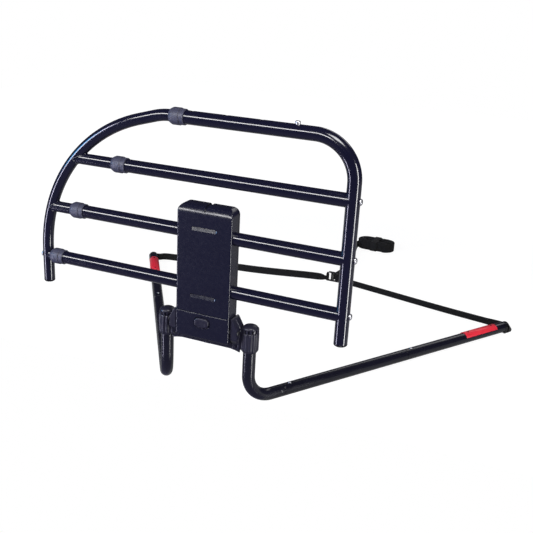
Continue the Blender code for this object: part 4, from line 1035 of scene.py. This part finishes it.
def label(side, sign):
    """Plain red band over the tube with a folded edge and two dark studs."""
    across = leg_side(sign)
    start = LEG_REACH - LABEL_START - LABEL_LENGTH
    r, sheet = LEG_R + 0.0003, 0.0011
    first, last = (math.radians(d) for d in ((22, 156) if sign < 0 else (24, 158)))
    section = arc((0, 0), r, first, last, 24) + arc((0, 0), r + sheet, last, first, 24)
    rings = []
    for s, shrink in ((0, 0.99), (0.0004, 1), (LABEL_LENGTH - 0.0004, 1), (LABEL_LENGTH, 0.99)):
        at = leg_point(sign, start + s)
        rings.append([at + across * a * shrink + Vector((0, 0, h * shrink)) for a, h in section])
    bm = bmesh.new()
    add_rings(bm, rings)
    count = len(bm.faces)
    up = Vector((0, 0, 1))
    dome = [(0.0024, r + 0.0002), (0.0024, r + sheet + 0.0004), (0.0016, r + sheet + 0.0009),
            (0.0005, r + sheet + 0.0010)]
    for along in (0.014, LABEL_LENGTH - 0.012):
        at = leg_point(sign, start + along)
        add_rings(bm, [circle(at + up * h, up, Vector((1, 0, 0)), q, 20) for q, h in dome])
    bm.faces.ensure_lookup_table()
    for face in bm.faces[count:]:
        face.material_index = 1
    band = to_object(bm, f"leg_label_{side}_look", [MAT["label"], DARK])
    place(band, "base", f"leg_label_{side}")


# ================================================================ strap
def smooth_run(points, steps):
    """Catmull-Rom curve through the points of a strap's run."""
    padded = [points[0] * 2 - points[1]] + points + [points[-1] * 2 - points[-2]]
    run = []
    for i in range(len(points) - 1):
        a, b, c, d = padded[i:i + 4]
        for k in range(steps):
            t = k / steps
            run.append(0.5 * ((2 * b) + (c - a) * t + (2 * a - 5 * b + 4 * c - d) * t ** 2
                              + (3 * b - a - 3 * c + d) * t ** 3))
    return run + [points[-1]]


def ribbon(name, path, section, side, mat, roll=None):
    """A strip along a path: section points run (along side, across it); UVs are in metres."""
    bm = bmesh.new()
    uv = bm.loops.layers.uv.new("UVMap")
    length, rows = 0.0, []
    for i, (point, way) in enumerate(zip(path, tangents(path))):
        if i:
            length += (point - path[i - 1]).length
        wide, out = side, way.cross(side).normalized()
        if roll:
            turn = Matrix.Rotation(roll(i / (len(path) - 1)), 3, way)
            wide, out = turn @ wide, turn @ out
        rows.append(([bm.verts.new(point + wide * a + out * b) for a, b in section], length))
    count = len(section)
    for (first, u0), (second, u1) in zip(rows, rows[1:]):
        for k in range(count):
            n = (k + 1) % count
            face = bm.faces.new((first[k], first[n], second[n], second[k]))
            for loop, u, index in zip(face.loops, (u0, u0, u1, u1), (k, n, n, k)):
                loop[uv].uv = (u, section[index][0])
    for row in (rows[0][0], rows[-1][0]):
        bm.faces.new(row)
    return to_object(bm, name, mat, 50)


def webbing(name, path, width=STRAP_WIDTH, roll=None):
    """Webbing with thick selvedges, standing on its edge unless roll(share) turns it."""
    half, thick = width / 2, STRAP_SHEET / 2
    section = [(-half, thick * 0.35), (-half + thick * 0.7, thick), (-half + 0.0016, thick),
               (-half + 0.0022, thick * 0.86), (half - 0.0022, thick * 0.86), (half - 0.0016, thick),
               (half - thick * 0.7, thick), (half, thick * 0.35)]
    section += [(a, -b) for a, b in section[::-1]]
    return ribbon(name, path, section, Vector((0, 0, 1)), MAT["webbing"], roll)


def strap():
    half = BUCKLE_SIZE.x / 2
    at = Vector((BUCKLE.x, BUCKLE.y, STRAP_Z))
    entry = LEG_REACH + CAP_LENGTH * CAP_SLOT
    left = leg_point(-1, entry, STRAP_Z)
    right = leg_point(1, entry, STRAP_Z)
    left_out = left - leg_side(-1) * (LEG_R + 0.002)
    left_run = [left + leg_side(-1) * 0.004, left_out + Vector((0.003, 0, 0)),
                left_out + Vector((0.045, 0.018, 0)), Vector((-0.215, RAIL_Y + 0.697, STRAP_Z)),
                at - Vector((0.055, 0.0145, 0)), at - Vector((half - 0.003, 0.0030, 0.0024))]
    right_run = [at + Vector((half - 0.003, -0.0028, 0)), Vector((0.150, RAIL_Y + 0.722, STRAP_Z)),
                 Vector((0.330, RAIL_Y + 0.6825, STRAP_Z)), right + leg_side(1) * (LEG_R + 0.002),
                 right - leg_side(1) * 0.004]

    def left_roll(t):
        return math.radians(6) * math.sin(t * 7.0) + math.radians(34) * ease((t - 0.82) / 0.16)

    def right_roll(t):
        return math.radians(17) * ease(t / 0.08) * (1 - ease((t - 0.66) / 0.09))

    obj = webbing("strap_left_look", smooth_run(left_run, 20), roll=left_roll)
    place(obj, "base", "strap_left")
    obj = webbing("strap_right_look", smooth_run(right_run, 24), roll=right_roll)
    place(obj, "base", "strap_right")
    front = Vector((HANK.x - HANK_SIZE.x * 0.42, HANK.y - HANK_SIZE.y * 0.20, STRAP_Z))
    tail = [at + Vector((0.002, BUCKLE_SIZE.y / 2 + 0.003, 0)), Vector((0.022, RAIL_Y + 0.86, STRAP_Z)),
            Vector((0.006, RAIL_Y + 0.97, STRAP_Z)), front - Vector((0.004, 0.020, 0)),
            front + Vector((-0.004, 0.004, 0))]
    obj = webbing("strap_tail_look", smooth_run(tail, 16),
                  roll=lambda t: math.radians(12) * math.sin(t * 6.2))
    place(obj, "base", "strap_tail")
    buckle()
    hank()


def buckle():
    """Ladder-lock: side rails, a ridged bar between them and webbing folded round the outer bars."""
    centre, size = BUCKLE, BUCKLE_SIZE
    x = (centre.x - size.x / 2, centre.x + size.x / 2)
    y = (centre.y - size.y / 2 + 0.0008, centre.y + size.y / 2 - 0.0008)
    z = (centre.z - size.z / 2, centre.z + size.z / 2)
    body = block("strap_buckle_look", x, y, z, MAT["plastic"])
    bar = 0.004
    deep = (y[0] - 0.01, y[1] + 0.01)
    tall = (z[0] + bar, z[1] - bar)
    boolean(body, [block("tool_left", (x[0] + bar, centre.x - bar * 0.6), deep, tall),
                   block("tool_right", (centre.x + bar * 0.6, x[1] - bar), deep, tall),
                   block("tool_step", (x[0] - 0.01, x[0] + 0.0055), deep, (z[1] - 0.0030, z[1] + 0.01))])
    ridges = []
    for k in range(3):
        at = centre.x - bar * 0.6 + k * 0.0016
        ridges.append(block(f"ridge_{k}", (at, at + 0.0008), (y[0] - 0.0006, y[1] + 0.0006), tall))
    round_edges(body, 0.0010, 4, 40)
    body = joined("strap_buckle_look", [body] + ridges, MAT["plastic"], 40)
    place(body, "base", "strap_buckle")
    for side, at_x in (("left", x[0] + bar * 0.55), ("right", x[1] - bar * 0.55)):
        wrap = [Vector((at_x, centre.y, STRAP_Z)) + Vector((math.cos(a) * 0.0034, math.sin(a) * 0.0036, 0))
                for a in (2 * math.pi * k / 20 for k in range(21))]
        fold = webbing(f"strap_fold_{side}", wrap)
        place(fold, "base", None)


def hank():
    """The spare webbing wound into a long hank: one strip in tightening loops."""
    low_z = HANK.z - HANK_SIZE.z / 2
    pitch = STRAP_SHEET + 0.0006
    radius = HANK_SIZE.y / 2 - STRAP_SHEET / 2 - 0.0002
    reach = (HANK_SIZE.x - HANK_SIZE.y) / 2
    wide = 0.0255
    turns = int((radius - 0.004) / pitch)
    steps = 18
    path = []
    for turn in range(turns):
        for k in range(2 * steps):
            share = turn + k / (2 * steps)
            r = radius - pitch * share
            a = -math.pi / 2 + math.pi * k / steps
            offset = reach if k < steps else -reach
            wave = 0.0028 * math.sin(math.pi * min(share / turns, 1.0)) + 0.0004 * math.sin(share * 5.1)
            path.append(Vector((HANK.x + offset + r * math.cos(a), HANK.y + r * math.sin(a),
                                low_z + wide / 2 + 0.0006 + wave)))
            if k in (steps - 1, 2 * steps - 1):
                nxt = radius - pitch * (turn + (k + 1) / (2 * steps))
                sign = 1 if k == steps - 1 else -1
                for t in (0.0, 0.33, 0.67):
                    path.append(Vector((HANK.x + sign * reach * (1 - 2 * t), HANK.y + sign * nxt,
                                        low_z + wide / 2 + 0.0006 + wave)))
    obj = webbing("strap_hank_look", path, width=wide)
    place(obj, "base", "strap_hank")
    keeper(low_z)


def keeper(low_z):
    """Elastic over the hank's middle, down to the floor on both sides."""
    x0, x1 = low("strap_keeper").x, high("strap_keeper").x
    y0, y1 = low("strap_keeper").y + 0.0008, high("strap_keeper").y - 0.0008
    top = low_z + 0.0288
    r = 0.004
    loop = [(y0, low_z + 0.001), (y0, top - r)]
    loop += arc((y0 + r, top - r), r, math.pi, math.pi / 2, 6)[1:]
    loop += arc((y1 - r, top - r), r, math.pi / 2, 0, 6)
    loop += [(y1, low_z + 0.001)]
    path = []
    for (ya, za), (yb, zb) in zip(loop, loop[1:]):
        for t in (0, 0.5):
            path.append(Vector(((x0 + x1) / 2, lerp(ya, yb, t), lerp(za, zb, t))))
    path.append(Vector(((x0 + x1) / 2, *loop[-1])))
    half, thick = (x1 - x0) / 2, 0.0006
    section = [(-half, -thick * 0.4), (-half, thick * 0.4), (-half + thick, thick), (half - thick, thick),
               (half, thick * 0.4), (half, -thick * 0.4), (half - thick, -thick), (-half + thick, -thick)]
    obj = ribbon("strap_keeper_look", path, section, Vector((1, 0, 0)), MAT["elastic"])
    place(obj, "base", "strap_keeper")


# ================================================================ stage
def camera():
    """The eye stands before the right half of the rail and looks down on it."""
    azimuth, elevation, roll = (math.radians(d) for d in (22.267, 20.016, 3.030))
    back = Vector((math.sin(azimuth) * math.cos(elevation), -math.cos(azimuth) * math.cos(elevation),
                   math.sin(elevation)))
    flat = Vector((math.cos(azimuth), math.sin(azimuth), 0))
    up = back.cross(flat)
    right = flat * math.cos(roll) + up * math.sin(roll)
    over = up * math.cos(roll) - flat * math.sin(roll)
    data = bpy.data.cameras.new("camera")
    data.sensor_width = 36
    data.lens = 55.081
    data.clip_start, data.clip_end = 0.05, 60
    cam = bpy.data.objects.new("camera", data)
    axes = Matrix((right, over, back)).transposed().to_4x4()
    cam.matrix_world = Matrix.Translation((0.6493, -1.2903 + RAIL_Y, 0.8097)) @ axes
    bpy.context.scene.collection.objects.link(cam)
    bpy.context.scene.camera = cam


def area(name, location, target, size, power, colour):
    data = bpy.data.lights.new(name, "AREA")
    data.shape = "RECTANGLE"
    data.size, data.size_y = size
    data.energy = power
    data.color = colour
    obj = bpy.data.objects.new(name, data)
    obj.location = location
    obj.rotation_mode = "QUATERNION"
    obj.rotation_quaternion = (target - location).to_track_quat("-Z", "Y")
    bpy.context.scene.collection.objects.link(obj)


def backdrop():
    """White to the camera; to every other ray a dim ramp, lighter low down."""
    scene = bpy.context.scene
    scene.view_settings.view_transform = "Standard"
    scene.world = bpy.data.worlds.new("studio")
    scene.world.use_nodes = True
    tree = scene.world.node_tree
    tree.nodes.clear()
    link = tree.links.new
    split = add_node(tree, "ShaderNodeSeparateXYZ")
    link(add_node(tree, "ShaderNodeTexCoord").outputs["Generated"], split.inputs[0])
    half = add_node(tree, "ShaderNodeMath", operation="MULTIPLY_ADD")
    half.inputs[1].default_value = 0.5
    half.inputs[2].default_value = 0.5
    link(split.outputs[2], half.inputs[0])
    ramp = add_node(tree, "ShaderNodeValToRGB")
    ramp.color_ramp.elements[0].position = 0.10
    ramp.color_ramp.elements[0].color = (0.15, 0.145, 0.22, 1)
    ramp.color_ramp.elements[1].position = 0.45
    ramp.color_ramp.elements[1].color = (0.030, 0.030, 0.048, 1)
    link(half.outputs[0], ramp.inputs[0])
    dim = add_node(tree, "ShaderNodeBackground")
    link(ramp.outputs[0], dim.inputs[0])
    white = add_node(tree, "ShaderNodeBackground", Color=(1, 1, 1, 1))
    mix = add_node(tree, "ShaderNodeMixShader")
    link(add_node(tree, "ShaderNodeLightPath").outputs["Is Camera Ray"], mix.inputs[0])
    link(dim.outputs[0], mix.inputs[1])
    link(white.outputs[0], mix.inputs[2])
    link(mix.outputs[0], add_node(tree, "ShaderNodeOutputWorld").inputs[0])


def lights():
    """One long key strip over the rail, a strip at each side, a cyan card and soft fills."""
    centre = Vector((0, RAIL_Y, 0.3))
    for name, offset, aim, size, power, colour in (
            ("key_strip", (-0.95, -2.10, 1.32), (0, 0, 0), (2.4, 0.42), 50, (1, 1, 1)),
            ("left_strip", (-2.05, -1.45, -0.30), (0, 0, -0.3), (0.24, 2.4), 36, (0.80, 0.78, 1.0)),
            ("cyan_card", (-2.15, -1.05, 0.42), (-0.2, 0, 0.2), (0.50, 0.60), 9, (0.08, 0.50, 1.0)),
            ("right_strip", (2.35, -0.60, -0.20), (0, 0, -0.2), (0.34, 2.4), 44, (1, 1, 1)),
            ("overhead", (0.85, -0.95, 2.10), (0, 0, 0), (1.1, 0.9), 34, (1, 1, 1)),
            ("back_light", (0.5, 3.0, 1.9), (0, 0.5, 0), (2.4, 0.6), 8, (1, 1, 1))):
        area(name, centre + Vector(offset), centre + Vector(aim), size, power, colour)


def floor():
    """Pale slab behind the rail's plane, with a faint painted shadow under the part in its emission; dim to
    other rays.
    """
    front = RAIL_Y + 0.034
    slab = block("floor", (-3.0, 3.0), (front, front + 4.0), (-0.004, -0.00005))
    s = Shader("floor", (0.20, 0.20, 0.20), 0.9, Specular_IOR_Level=0.0, Emission_Color=(1, 1, 1, 1))
    s.bump(s.node("ShaderNodeTexNoise", Scale=90).outputs["Fac"], 0.0001, 0.1)
    # Painted shadow: the emission the camera sees is dimmed by up to a tenth around the part (full within
    # 0.75 m of the origin, gone by 1.3 m) and faded out towards the slab's front edge.
    spot = s.node("ShaderNodeTexCoord").outputs["Object"]
    apart = s.node("ShaderNodeSeparateXYZ")
    s.link(spot, apart.inputs[0])
    reach = s.node("ShaderNodeVectorMath", operation="LENGTH")
    s.link(spot, reach.inputs[0])
    near = s.spread(reach.outputs["Value"], 0.75, 1.30, 1.0, 0.0, "SMOOTHSTEP")
    edge = s.spread(apart.outputs[1], front, front + 0.30, 0.0, 1.0, "SMOOTHSTEP")
    painted_shadow_strength = s.math("MULTIPLY_ADD", s.math("MULTIPLY", near, edge), -0.10, 1.0)
    glow = s.spread(s.node("ShaderNodeLightPath").outputs["Is Camera Ray"], 0.0, 1.0, 0.16, 1.0)
    s.link(painted_shadow_strength, glow.node.inputs["To Max"])
    s.link(glow, s.main.inputs["Emission Strength"])
    slab.data.materials.clear()
    slab.data.materials.append(s.mat)


camera()
backdrop()
lights()
floor()
rail_tubes()
collars()
bolts()
plugs()
snap_button()
front_cover()
rear_cover()
lower_cover()
yoke()
dome_caps()
pivot_pins()
legs()
strap()
